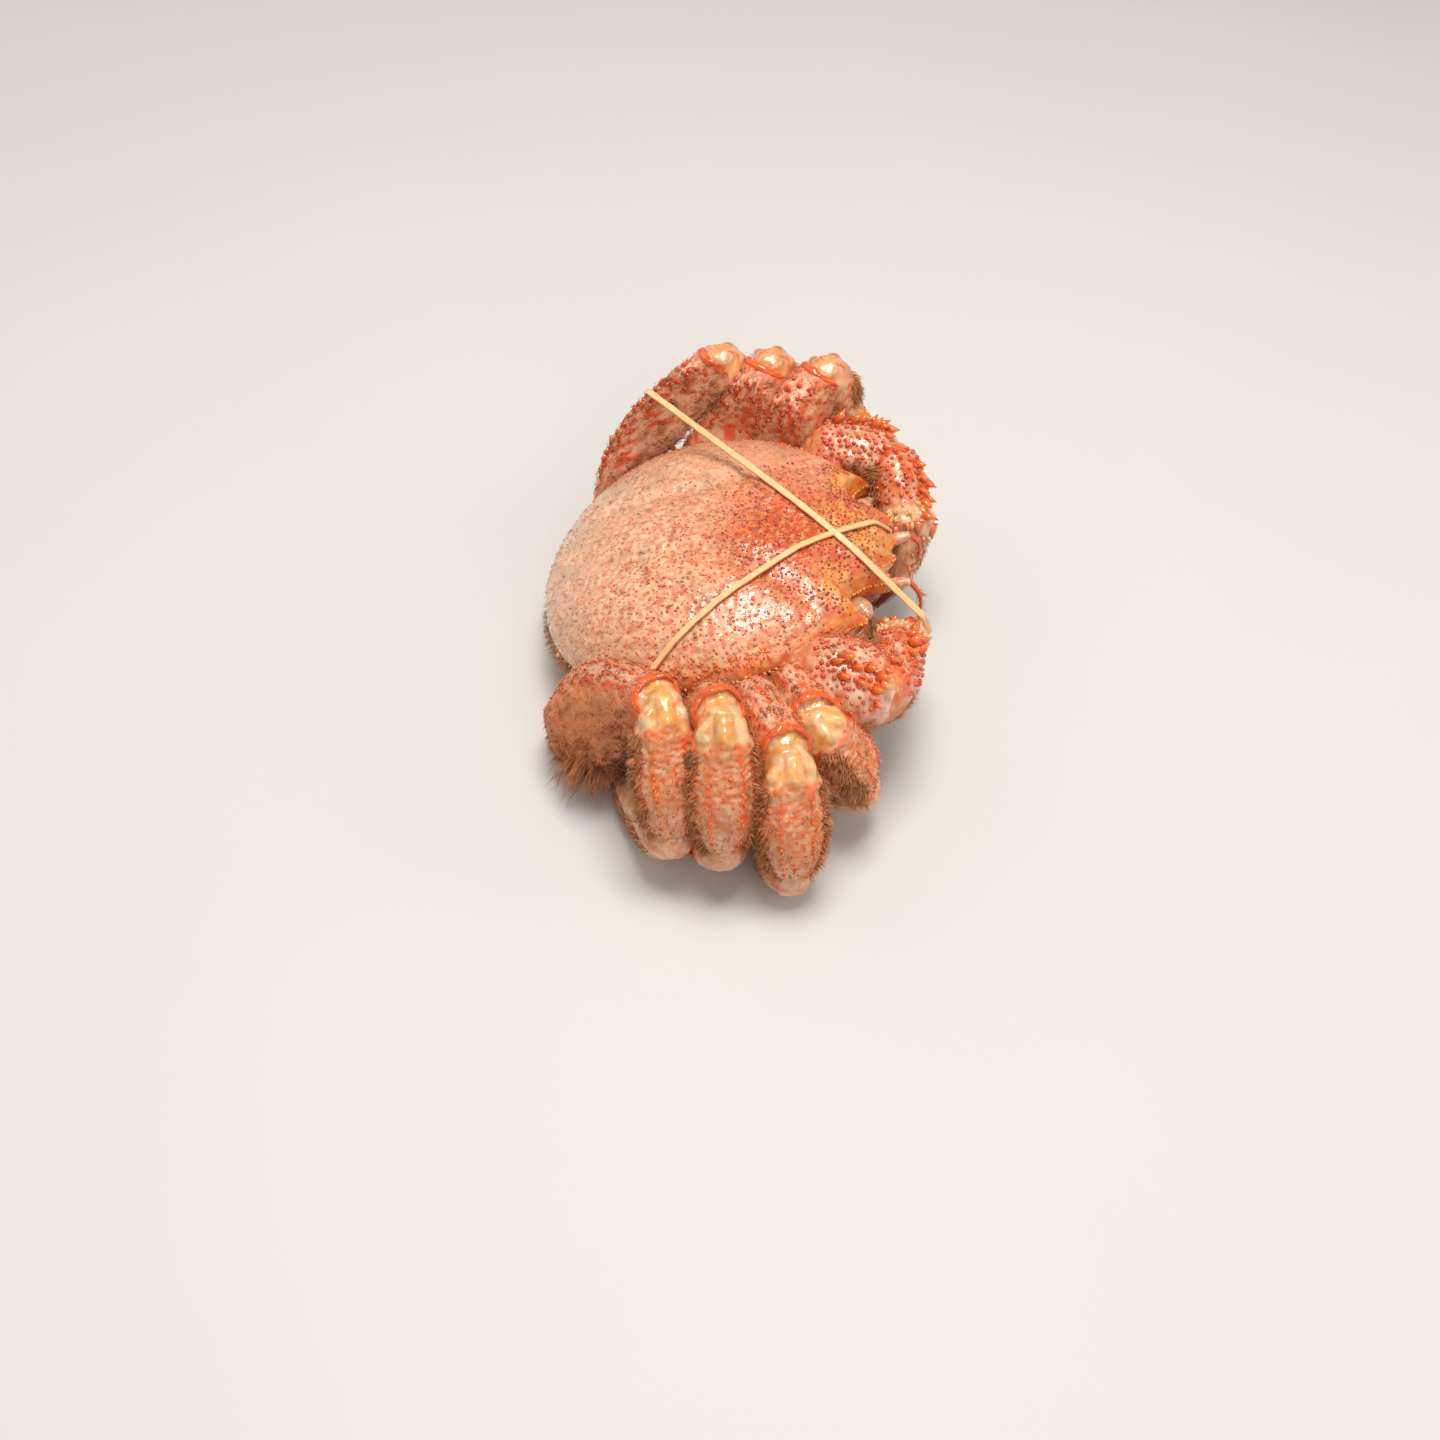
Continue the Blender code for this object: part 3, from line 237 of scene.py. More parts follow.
class CRAB_PG_colours(bpy.types.PropertyGroup):
    """Colours of the shell, the bristles, the bands and the stage."""
    back: colour_property("Back", "Boiled shell of the back", srgb(224, 182, 150))
    blush: colour_property("Blush", "Pinker shell on the near flank and legs", srgb(224, 142, 94))
    front: colour_property("Front", "Yellow cream of the front plates", srgb(228, 160, 86))
    patch: colour_property("Patch", "Orange red patch behind the front", srgb(208, 84, 32))
    dot: colour_property("Dot", "Red granules", srgb(206, 66, 38))
    rim: colour_property("Rim", "Red orange rim of the joints", srgb(226, 84, 22))
    spine: colour_property("Spine", "Orange spines and margins", srgb(232, 128, 40))
    cream: colour_property("Cream", "Pale glossy joint", srgb(232, 194, 142))
    yolk: colour_property("Yolk", "Yellow patch on a joint", srgb(234, 158, 58))
    velvet: colour_property("Velvet", "Velvety upper legs", srgb(218, 134, 78))
    pale: colour_property("Pale", "Pinkish white shell", srgb(232, 190, 156))
    under: colour_property("Underside", "Cream underside", srgb(232, 198, 158))
    bristle_tip: colour_property("Bristle tip", "Golden tips of the bristles", srgb(242, 178, 114))
    bristle_root: colour_property("Bristle root", "Brown roots of the bristles", srgb(176, 98, 58))
    # Painted shade of the hollows by the eyes and mouth and under the margin; also the real dark brown of
    # tips and of the front plates' dots
    shade: colour_property("Hollow", "Dark hollows about the eyes and mouth", srgb(96, 34, 20))
    eye: colour_property("Eye", "Boiled eye", srgb(186, 138, 98))
    band: colour_property("Band", "Rubber bands", srgb(246, 202, 148))
    floor: colour_property("Floor", "Pale floor", srgb(214, 211, 207))


class CRAB_PG_stage(bpy.types.PropertyGroup):
    """Light and lens of the stage."""
    lens: FloatProperty(name="Lens", description="Focal length in millimetres", default=37.15, min=1.0)
    key_power: power_property("Key light", "Power of the overhead light", 7.8)
    fill_power: power_property("Fill light", "Power of the side lights", 3.0)
    sky: FloatProperty(name="Sky", description="Strength of the even light from all round", default=0.32,
                       min=0.0)


def sizes():
    return bpy.context.scene.crab_sizes


def colour(value):
    """A colour by its name, or the colour that is given."""
    return np.array(getattr(bpy.context.scene.crab_colours, value)) if isinstance(value, str) else value


# Shapes

Segment = namedtuple("Segment", "start end up rows half")
Skin = namedtuple("Skin", "co normal place angle")
Patch = namedtuple("Patch", "co faces tint gloss dots uv")


def stacked(*values):
    """Points from their coordinates, or rows from their columns."""
    return np.stack(np.broadcast_arrays(*values), -1)


def unit(vectors):
    return vectors / np.maximum(np.linalg.norm(vectors, axis=-1, keepdims=True), 1e-12)


def ease(low, high, values):
    """Smooth step: 0 below low, 1 above high, a cubic between."""
    share = limit((values - low) / (high - low))
    return share * share * (3.0 - 2.0 * share)


def limit(values):
    """Values held between 0 and 1."""
    return np.clip(values, 0.0, 1.0)


def bell(values, width):
    """Gaussian bump of the given width."""
    return np.exp(-(values / width) ** 2)


def mix(first, second, share):
    """Colour between two colours, each a name or a value, by a share at each point."""
    first, second = colour(first), colour(second)
    return first + (second - first) * np.asarray(share)[..., None]


def settle(points):
    """Turn points of the level body by the pitch about X, then lift them."""
    points = np.asarray(points, float)
    c, s = math.cos(PITCH), math.sin(PITCH)
    x, y, z = points[..., 0], points[..., 1], points[..., 2]
    return stacked(x, y * c + z * s, z * c - y * s + LIFT)


def turned(vectors):
    """A direction of the level body as it is on the pitched body."""
    return settle(vectors) - np.array((0.0, 0.0, LIFT))


def ripple(points, size, seed, layers=9):
    """Wandering value near -1 to 1: the mean of sine waves of about one size in random directions."""
    draw = np.random.default_rng(seed)
    ways = unit(draw.normal(size=(layers, 3))) * (TURN / size) * draw.uniform(0.7, 1.5, (layers, 1))
    return np.sin(points @ ways.T + draw.uniform(0.0, TURN, layers)).mean(-1) * 2.2


def ring_angles(count):
    """Even angles round a full turn."""
    return np.linspace(0.0, TURN, count, endpoint=False)


def squared(angle, power):
    """Cosine and sine of an angle, each to a power below 1 with its sign kept: a rounded square."""
    c, s = np.cos(angle), np.sin(angle)
    return np.sign(c) * np.abs(c) ** power, np.sign(s) * np.abs(s) ** power


def run_along(points):
    """Distance along a line of points at each of them."""
    return np.concatenate([[0], np.cumsum(np.linalg.norm(np.diff(points, axis=0), axis=1))])


def points_at(points, run, at):
    """Points in plan at given distances along a line of points."""
    return np.stack([np.interp(at, run, points[:, k]) for k in (0, 1)], -1)


def smooth_rows(rows, places):
    """Values along a segment: a cubic through the rows, with the slope of the neighbouring rows at each."""
    rows = np.asarray(rows, float)
    x, y = rows[:, 0], rows[:, 1:]
    slope = np.gradient(y, x, axis=0)
    k = np.clip(np.searchsorted(x, places, side="right") - 1, 0, len(x) - 2)
    step = (x[k + 1] - x[k])[:, None]
    t = (places - x[k])[:, None] / step
    return ((2 * t ** 3 - 3 * t ** 2 + 1) * y[k] + (t ** 3 - 2 * t ** 2 + t) * step * slope[k]
            + (3 * t ** 2 - 2 * t ** 3) * y[k + 1] + (t ** 3 - t ** 2) * step * slope[k + 1])


def axes(segment):
    """Unit vectors along a segment, up and sideways, and its length."""
    along = segment.end - segment.start
    length = np.linalg.norm(along)
    along = along / length
    up = np.asarray(segment.up, float)
    up = unit(up - along * (along @ up))
    return along, up, np.cross(along, up), length


def skin_normals(co):
    """Normals of a tube of rings: the product of the steps along and around it, turned outwards."""
    along = np.gradient(co, axis=0)
    around = np.roll(co, -1, axis=1) - np.roll(co, 1, axis=1)
    normal = unit(np.cross(around, along))
    outward = co - co.mean(axis=1, keepdims=True)
    return normal if (normal * outward).sum() > 0 else -normal


def segment_skin(segment, rings, around, power=2.3, dome=0.45):
    """Tube of rounded sections along a segment: at each place the section's half height and thickness come
    from the rows, its outline is a superellipse, and both ends close in a quarter-round dome."""
    along, up, side, length = axes(segment)
    rows = np.asarray(segment.rows, float)
    first, last = rows[0, 0], rows[-1, 0]
    arc = np.linspace(0.0, math.pi / 2, 7)[1:-1]
    body = np.linspace(first, last, rings)
    caps = [dome * rows[k, 1:3].min() * min(segment.half) / length for k in (0, -1)]
    place = np.concatenate([first - caps[0] * np.sin(arc[::-1]), body, last + caps[1] * np.sin(arc)])
    shrink = np.concatenate([np.cos(arc[::-1]), np.ones(rings), np.cos(arc)])
    high, thick, lift = smooth_rows(rows, np.clip(place, first, last)).T
    angle = ring_angles(around)
    c, s = squared(angle, 2.0 / power)
    centre = segment.start + along * (place * length)[:, None] + up * (lift * length)[:, None]
    co = (centre[:, None] + up * (high * shrink * segment.half[0])[:, None, None] * c[:, None]
          + side * (thick * shrink * segment.half[1])[:, None, None] * s[:, None])
    return Skin(co, skin_normals(co), place, (angle + math.pi) % TURN - math.pi)


def raised(skin, height):
    """The skin moved along its normals by a height at each point."""
    co = skin.co + skin.normal * height[..., None]
    return Skin(co, skin_normals(co), skin.place, skin.angle)


def spots(skin, places, angles):
    """Points, normals and directions along and around the skin, between its grid points."""
    n, m = skin.co.shape[:2]
    row = np.clip(np.interp(places, skin.place, np.arange(n)), 0, n - 1.001)
    column = (angles / TURN % 1.0) * m
    i, j = row.astype(int), column.astype(int) % m
    a, b = (row - i)[:, None], (column - np.floor(column))[:, None]
    k = (j + 1) % m

    def between(grid):
        near, far = (grid[i, at] * (1 - a) + grid[i + 1, at] * a for at in (j, k))
        return near * (1 - b) + far * b

    along = unit(skin.co[i + 1, j] - skin.co[i, j])
    around = unit(skin.co[i, k] - skin.co[i, j])
    return between(skin.co), unit(between(skin.normal)), along, around


def outward_faces(co, faces):
    """Faces turned so that a closed surface has a positive volume."""
    a, b, c = co[faces[:, 0]], co[faces[:, 1]], co[faces[:, 2]]
    return faces if (a * np.cross(b, c)).sum() > 0 else faces[:, ::-1]


def tube_patch(co, tint, gloss=0.5, dots=0.3, closed=False):
    """Triangles over a tube of rings. Each end meets in a pole, or both meet when it is a closed ring."""
    n, m = co.shape[:2]
    i, j = np.meshgrid(np.arange(n if closed else n - 1), np.arange(m), indexing="ij")
    a, b = i * m + j, i * m + (j + 1) % m
    c, d = (i + 1) % n * m + (j + 1) % m, (i + 1) % n * m + j
    faces = stacked(a, b, c, a, c, d).reshape(-1, 3)
    points = co.reshape(-1, 3)
    fields = [np.broadcast_to(tint, co.shape).reshape(-1, 3)]
    fields += [np.broadcast_to(field, (n, m)).reshape(-1) for field in (gloss, dots)]
    if not closed:
        k = np.arange(m)
        first = stacked((k + 1) % m, k, np.full(m, n * m))
        last = stacked((n - 1) * m + k, (n - 1) * m + (k + 1) % m, np.full(m, n * m + 1))
        faces = np.concatenate([faces, first, last])
        points = np.concatenate([points, co[0].mean(0, keepdims=True), co[-1].mean(0, keepdims=True)])
        fields = [np.concatenate([field, field[:1], field[-1:]]) for field in fields]
    return Patch(points, outward_faces(points - points.mean(0), faces), *fields, None)


def joined(parts):
    """Several patches as one."""
    shift = np.cumsum([0] + [len(p.co) for p in parts[:-1]])
    names = ("co", "tint", "gloss", "dots")
    whole = {name: np.concatenate([getattr(p, name) for p in parts]) for name in names}
    uv = None if parts[0].uv is None else np.concatenate([p.uv for p in parts])
    return Patch(faces=np.concatenate([p.faces + k for p, k in zip(parts, shift)]), uv=uv, **whole)


CONE = ((0.0, 1.0), (0.45, 0.60))
BEAD = ((0.0, 1.0), (0.45, 0.92), (0.85, 0.52))
BRISTLE = ((0.0, 1.0), (0.5, 0.8))
SHORT = ((0.0, 1.0),)


def studs(roots, ways, lengths, widths, tints, tips, profile=CONE, sides=6, bends=None, gloss=0.8,
          sink=0.0004, uv=None):
    """Many tapered studs at once. Each is rings about the line root + way * s + bend * s * s, with s from 0
    to its length and a ring's radius from the profile, closed by its tip and by its sunken foot."""
    count = len(roots)
    if not count:
        none = np.zeros((0, 3))
        return Patch(none, none.astype(int), none, none[:, 0], none[:, 0], none[:, :2])
    bends = np.zeros((count, 3)) if bends is None else bends
    helper = np.where(np.abs(ways[:, :1]) < 0.7, np.array([[1.0, 0.0, 0.0]]), np.array([[0.0, 1.0, 0.0]]))
    side = unit(np.cross(ways, helper))
    other = np.cross(ways, side)
    turn = TURN * np.arange(sides) / sides
    lengths, widths = np.broadcast_to(lengths, count)[:, None], np.broadcast_to(widths, count)[:, None]
    parts, shares = [], []
    for share, width in profile:
        centre = roots + ways * lengths * share + bends * lengths * share ** 2
        centre = centre - ways * (sink if share == 0.0 else 0.0)
        for angle in turn:
            parts.append(centre + (side * math.cos(angle) + other * math.sin(angle)) * widths * width)
            shares.append(share)
    parts.append(roots + ways * lengths + bends * lengths)
    shares.append(1.0)
    per = len(parts)
    faces = []
    for ring in range(len(profile) - 1):
        for k in range(sides):
            a, b = ring * sides + k, ring * sides + (k + 1) % sides
            faces += [(a, b, b + sides), (a, b + sides, a + sides)]
    top = (len(profile) - 1) * sides
    faces += [(top + k, top + (k + 1) % sides, per - 1) for k in range(sides)]
    faces += [(0, k + 1, k) for k in range(1, sides - 1)]
    co = np.stack(parts, 1)
    template = outward_faces(co[0] - co[0].mean(0), np.array(faces))
    faces = (template[None] + (np.arange(count) * per)[:, None, None]).reshape(-1, 3)
    share = np.array(shares)[None, :, None]
    tints, tips = (np.broadcast_to(colour(c), (count, 3))[:, None] for c in (tints, tips))
    tint = (tints + (tips - tints) * share).reshape(-1, 3)
    gloss = np.full(count * per, gloss)
    if uv is not None:
        spread = 0.0014 * stacked(np.cos(np.arange(per) * 2.4), np.sin(np.arange(per) * 2.4))
        uv = (uv[:, None] + spread[None]).reshape(-1, 2)
    return Patch(co.reshape(-1, 3), faces, tint, gloss, gloss * 0.0, uv)


def make_piece(name, patches, material, replaced=()):
    """One object from patches, placed in the frame, with its tint, gloss and dots kept as point attributes
    and the coat's map, where the patches have one, kept as the map OFBake."""
    whole = joined(patches)
    faces, co = whole.faces, whole.co + PLACE
    co[:, 2] = np.maximum(co[:, 2], LOWEST)
    tint = np.concatenate([limit(whole.tint), np.ones((len(co), 1))], 1)
    mesh = bpy.data.meshes.new(name)
    mesh.vertices.add(len(co))
    mesh.vertices.foreach_set("co", co.astype(np.float32).ravel())
    mesh.loops.add(faces.size)
    mesh.loops.foreach_set("vertex_index", faces.astype(np.int32).ravel())
    mesh.polygons.add(len(faces))
    mesh.polygons.foreach_set("loop_start", np.arange(0, faces.size, 3, dtype=np.int32))
    mesh.update(calc_edges=True)
    mesh.polygons.foreach_set("use_smooth", np.ones(len(faces), bool))
    for label, kind, key, values in (("shell_tint", "FLOAT_COLOR", "color", tint),
                                     ("shell_gloss", "FLOAT", "value", whole.gloss),
                                     ("shell_dots", "FLOAT", "value", whole.dots)):
        data = mesh.attributes.new(label, kind, "POINT").data
        data.foreach_set(key, values.astype(np.float32).ravel())
    if whole.uv is not None:
        uv = whole.uv[faces.ravel()].astype(np.float32)
        mesh.uv_layers.new(name="OFBake").data.foreach_set("uv", uv.ravel())
    if mesh.validate():
        raise RuntimeError("faulty faces in " + name)
    mesh.materials.append(material)
    piece = bpy.data.objects.new(name, mesh)
    bpy.context.scene.collection.objects.link(piece)
    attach(piece, "root")
    if replaced:
        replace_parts(piece, *replaced)
    return piece


# Bristles

# Above the first stand bristles are few, thick and dark at the root, below the second they are short down
STIFF_STAND = 0.52
DOWN_STAND = 0.36


def tufts(roots, normals, lies, lengths, uv, stand, draw, hairs=0, spread=0.0006, droop=0.0, thin=1.0,
          under=None):
    """Tufts of bristles: each root carries a few hairs set about it in its tangent plane, which rise by their
    stand, bend over to the lie and lean back together towards the tuft's middle at their tips. Hairs that
    lie close to the shell are coloured as it is under them, standing ones are dark at the root."""
    count = len(roots)
    hairs = hairs or (3 if stand > STIFF_STAND else 5)
    thin = thin * (1.7 if stand > STIFF_STAND else 1.0)
    k = np.repeat(np.arange(count), hairs)
    across = unit(np.cross(normals, lies))[k]
    normals, lies, lengths = normals[k], lies[k], lengths[k] * draw.uniform(0.65, 1.15, count * hairs)
    offset = (across * draw.normal(size=(len(k), 1)) + lies * draw.normal(size=(len(k), 1))) * spread
    ways = unit(normals * stand + lies * (1.05 - stand) + across * draw.normal(0, 0.16, (len(k), 1))
                + normals * draw.normal(0, 0.08, (len(k), 1)))
    bends = lies * 0.32 - normals * 0.10 - offset / spread * 0.10 + np.array((0, 0, -droop))
    tone = limit(0.5 + 0.7 * ripple(roots, 0.0034, 90)[k, None] + draw.normal(0, 0.15, (len(k), 1)))
    dark = 0.85 * ease(0.35, 0.70, np.array(float(stand)))
    root_tint = colour("velvet") * (1 - dark) + colour("bristle_root") * dark
    tip_tint = mix("bristle_tip", "velvet", 0.6 * draw.uniform(0, 1, len(k)))
    if under is not None:
        root_tint = mix(root_tint, under[k] * 0.95, 0.85 * (1 - dark))
        tip_tint = mix(tip_tint, under[k], 0.75 * (1 - dark))
    root_tint, tip_tint = root_tint * (0.60 + 0.65 * tone), tip_tint * (0.68 + 0.55 * tone)
    width = sizes().bristle_width * thin * draw.uniform(0.75, 1.15, len(k))
    profile = BRISTLE if stand > DOWN_STAND else SHORT
    return studs(roots[k] + offset, ways, lengths, width, root_tint, tip_tint, profile, 3, bends, 0.45,
                 0.0003, uv[k])


def coat_uv(strip, strips, place, angle):
    """Place of a root on the coat's map: each segment is a strip, unrolled along its length and round it."""
    return stacked(0.02 + 0.96 * limit((place + 0.15) / 1.3),
                   (strip + 0.04 + 0.92 * (angle / TURN % 1.0)) / strips)


def tint_under(skin, patch, places, angles):
    """Colours of a limb's shell under points on it: those of the nearest point of its grid."""
    around = len(skin.angle)
    rows = np.rint(np.interp(places, skin.place, np.arange(len(skin.place)))).astype(int)
    columns = np.rint((angles - skin.angle[0]) * around / TURN).astype(int) % around
    return patch.tint[rows * around + columns]


def limb_tufts(skin, patch, rule, strip, strips, draw):
    """Tufts over a limb's skin by one rule: count, from and to along it, middle angle and its half width in
    degrees, length, stand, and lean along and around."""
    count, start, end, middle, half, length, stand, along_lean, around_lean = rule
    places = draw.uniform(start, end, count)
    angles = np.radians(middle + half * draw.uniform(-1, 1, count))
    roots, normals, along, around = spots(skin, places, angles)
    keep = (roots[:, 2] > FLOOR_LEVEL + 0.0008) & clear_of_back(roots)
    places, angles = places[keep], angles[keep]
    roots, normals, along, around = (values[keep] for values in (roots, normals, along, around))
    sign = np.sign(np.sin(angles))[:, None]
    lies = unit(along * along_lean + around * around_lean * sign + along * 0.001)
    uv = coat_uv(strip, strips, places, angles)
    lengths = sizes().bristle_length * length * draw.uniform(0.8, 1.2, len(places))
    low = roots[:, 2] + (normals[:, 2] * stand + lies[:, 2]) * lengths < FLOOR_LEVEL + 0.0003
    lengths = np.where(low, lengths * 0.3, lengths)
    under = tint_under(skin, patch, places, angles)
    return tufts(roots, normals, lies, lengths, uv, stand, draw, under=under)


# Limbs

def direction(side, turn, rise):
    """Unit vector turned from straight out to the rear and then raised, both in degrees."""
    t, r = math.radians(turn), math.radians(rise)
    return np.array((SIDES[side] * math.cos(t) * math.cos(r), math.sin(t) * math.cos(r), math.sin(r)))


def leg_points(side, pair):
    x, y, z = LEG_BASES[pair]
    points = [settle((SIDES[side] * x, y, z))]
    for length, (turn, rise) in zip(LEG_LENGTHS[pair], LEG_POSE[(side, pair)]):
        points.append(points[-1] + direction(side, turn, rise) * length)
    return points


def leg_segments(side, pair):
    points = leg_points(side, pair)[1:]
    made = {}
    for k, kind in enumerate(LEG_KINDS):
        high, thick = (size * LEG_SCALE[pair] for size in HALF[kind])
        if kind == "merus":
            high *= NARROW_MERUS.get((side, pair), 1.0)
        sign = 1 if kind in ("merus", "carpus") else -1
        made[kind] = Segment(points[k], points[k + 1], (0, 0, sign), ROWS[kind], (high, thick))
    return made


def claw_points(side):
    return [np.array((SIDES[side] * x, y, z)) for x, y, z in CLAW_JOINTS[side]]


def claw_segments(side):
    base, elbow, wrist, knuckle, tip = claw_points(side)
    apart = FINGER_APART
    return {
        "claw_merus": Segment(base, elbow, (0, 0, 1), ROWS["claw_merus"], HALF["claw_merus"]),
        "claw_carpus": Segment(elbow, wrist, (0, 0, 1), ROWS["claw_carpus"], CLAW_CARPUS_HALF[side]),
        "claw_palm": Segment(wrist, knuckle, (0, -0.25, 1), ROWS["claw_palm"], HALF["claw_palm"]),
        "claw_dactylus": Segment(knuckle + apart, tip + apart * 0.7, FINGER_UP, ROWS["claw_finger"],
                                 HALF["claw_finger"]),
        "claw_thumb": Segment(knuckle - apart, tip - apart * 0.7, FINGER_UP, ROWS["claw_finger"],
                              HALF["claw_finger"])}


def stud_rows(skin, rules, flip, draw):
    """Rows of spines or beads: each rule gives kind, angle, spread, from, to, count, length, width, lean and
    the names of the root and tip colours."""
    patches = []
    for kind, degrees, spread, start, end, count, length, width, lean, root_name, tip_name in rules:
        places = start + (end - start) * (np.arange(count) + 0.5 + draw.uniform(-0.3, 0.3, count)) / count
        angles = flip * np.radians(degrees + spread * draw.uniform(-1, 1, count))
        roots, normals, along = spots(skin, places, angles)[:3]
        clear = clear_of_back(roots)
        roots, ways = roots[clear], unit(normals + along * lean)[clear]
        if not len(roots):
            continue
        size = draw.uniform(0.75, 1.2, len(roots))
        profile = CONE if kind == "spine" else BEAD
        patches.append(studs(roots, ways, length * size, width * size, root_name, tip_name, profile, 6,
                             gloss=0.95))
    return patches


def rim_patch(skin, place, half_angle, width, height, lean):
    """Raised lip round part of a segment: a flat oval carried along the section, which narrows towards both
    of its ends and is orange on the side of the joint."""
    turn = np.linspace(-half_angle, half_angle, 49)
    roots, normals, along = spots(skin, place + lean * (1 - np.cos(turn)), turn)[:3]
    fade = 0.22 + 0.78 * limit(1.0 - np.abs(turn / half_angle) ** 2.5)
    ring = ring_angles(14)
    wave = 1.0 + 0.16 * np.sin(turn * 7.0 + 1.0) + 0.08 * np.sin(turn * 19.0)
    co = (roots[:, None] + along[:, None] * (np.cos(ring)[:, None] * (width * fade * wave)[:, None, None])
          + normals[:, None] * (np.sin(ring)[:, None] * (height * fade * wave)[:, None, None]))
    patchy = limit(0.5 + 0.5 * np.sin(turn * 5.0 + 2.0))[:, None]
    shade = mix("rim", "spine", (0.25 + 0.4 * limit(np.cos(ring))[None]) * patchy)
    return tube_patch(co, shade, 1.0, 0.0)


def merus_patches(skin, draw, flip=1.0, press=True, far_painted_light=0.0):
    """Velvety upper segment: rows of red spines along its back beside a pale streak, short red marks and
    pale clouds, and a red lip at its end over a pale rounded joint."""
    u, a = skin.place[:, None], np.abs(skin.angle)[None]
    height = 0.0005 * bell(a, 0.30) * ease(0.05, 0.3, u) * ease(0.95, 0.8, u)
    height += 0.00022 * ripple(skin.co, 0.0060, 3)
    height += 0.00008 * ripple(skin.co, 0.0016, 4)
    height += 0.0006 * bell(u - 0.955, 0.045) * ease(2.0, 1.4, a)
    mottle = ripple(skin.co, 0.0050, 11)
    tip = ease(0.972, 0.985, u + 0.006 * mottle) * ease(2.5, 2.0, a)
    height -= 0.0016 * tip
    height += 0.0005 * tip * ripple(skin.co, 0.0050, 13)
    skin = raised(skin, height)
    skin = tucked(lowered(skin) if press else skin)
    tint = mix("velvet", "blush", 0.5 + 0.4 * mottle)
    tint = mix(tint, "pale", 0.65 * bell(a - 0.25 + 0.10 * mottle, 0.28) * ease(0.1, 0.3, u))
    marks = streaks(skin, 0.45, 0.0030, 12)
    reach = 2.0 if flip > 0 else 1.15
    tint = mix(tint, "pale", 0.45 * ease(0.0, 0.4, mottle) * ease(reach, reach - 0.6, a))
    # Painted light: the far legs' meri are made paler all over
    tint = mix(tint, colour("pale") * 1.15, far_painted_light)
    tint = mix(tint, "rim", 0.92 * marks * ease(reach, reach - 0.6, a) * ease(0.0, 0.25, u))
    tint = mix(tint, "rim", 0.60 * ease(0.90, 0.96, u + 0.015 * mottle) * ease(2.2, 1.4, a))
    tint = mix(tint, "pale", 0.4 * ease(2.0, 2.9, a))
    tint = mix(tint, "bristle_root", 0.60 * streaks(skin, 0.25, 0.0044, 15) * ease(0.9, 1.4, a))
    tint = mix(tint, joint_tint(skin, flip, 14), tip)
    gloss = 0.15 + 0.30 * bell(a, 0.5) + 0.4 * marks * ease(1.1, 0.5, a) + 0.3 * tip
    s = sizes().limb_spine * (1.3 if flip > 0 else 1.0)
    rules = (("spine", 2, 7, 0.10, 0.88, 15, s * 0.95, s * 0.48, 1.4, "dot", "spine"),
             ("spine", 19, 8, 0.12, 0.90, 13, s * 0.85, s * 0.45, 1.4, "dot", "rim"),
             ("spine", -17, 8, 0.12, 0.90, 13, s * 0.85, s * 0.45, 1.4, "dot", "rim"),
             ("spine", 38, 12, 0.2, 0.90, 10, s * 0.7, s * 0.36, 1.4, "dot", "rim"),
             ("spine", -38, 12, 0.2, 0.90, 10, s * 0.7, s * 0.36, 1.4, "dot", "rim"))
    patches = [tube_patch(skin.co, tint, limit(gloss), 0.25 * (1 - tip))]
    patches += stud_rows(skin, rules, flip, draw)
    width = sizes().knee_rim
    patches.append(rim_patch(skin, 0.966, math.radians(96), width, width * 0.75, 0.010))
    return skin, patches


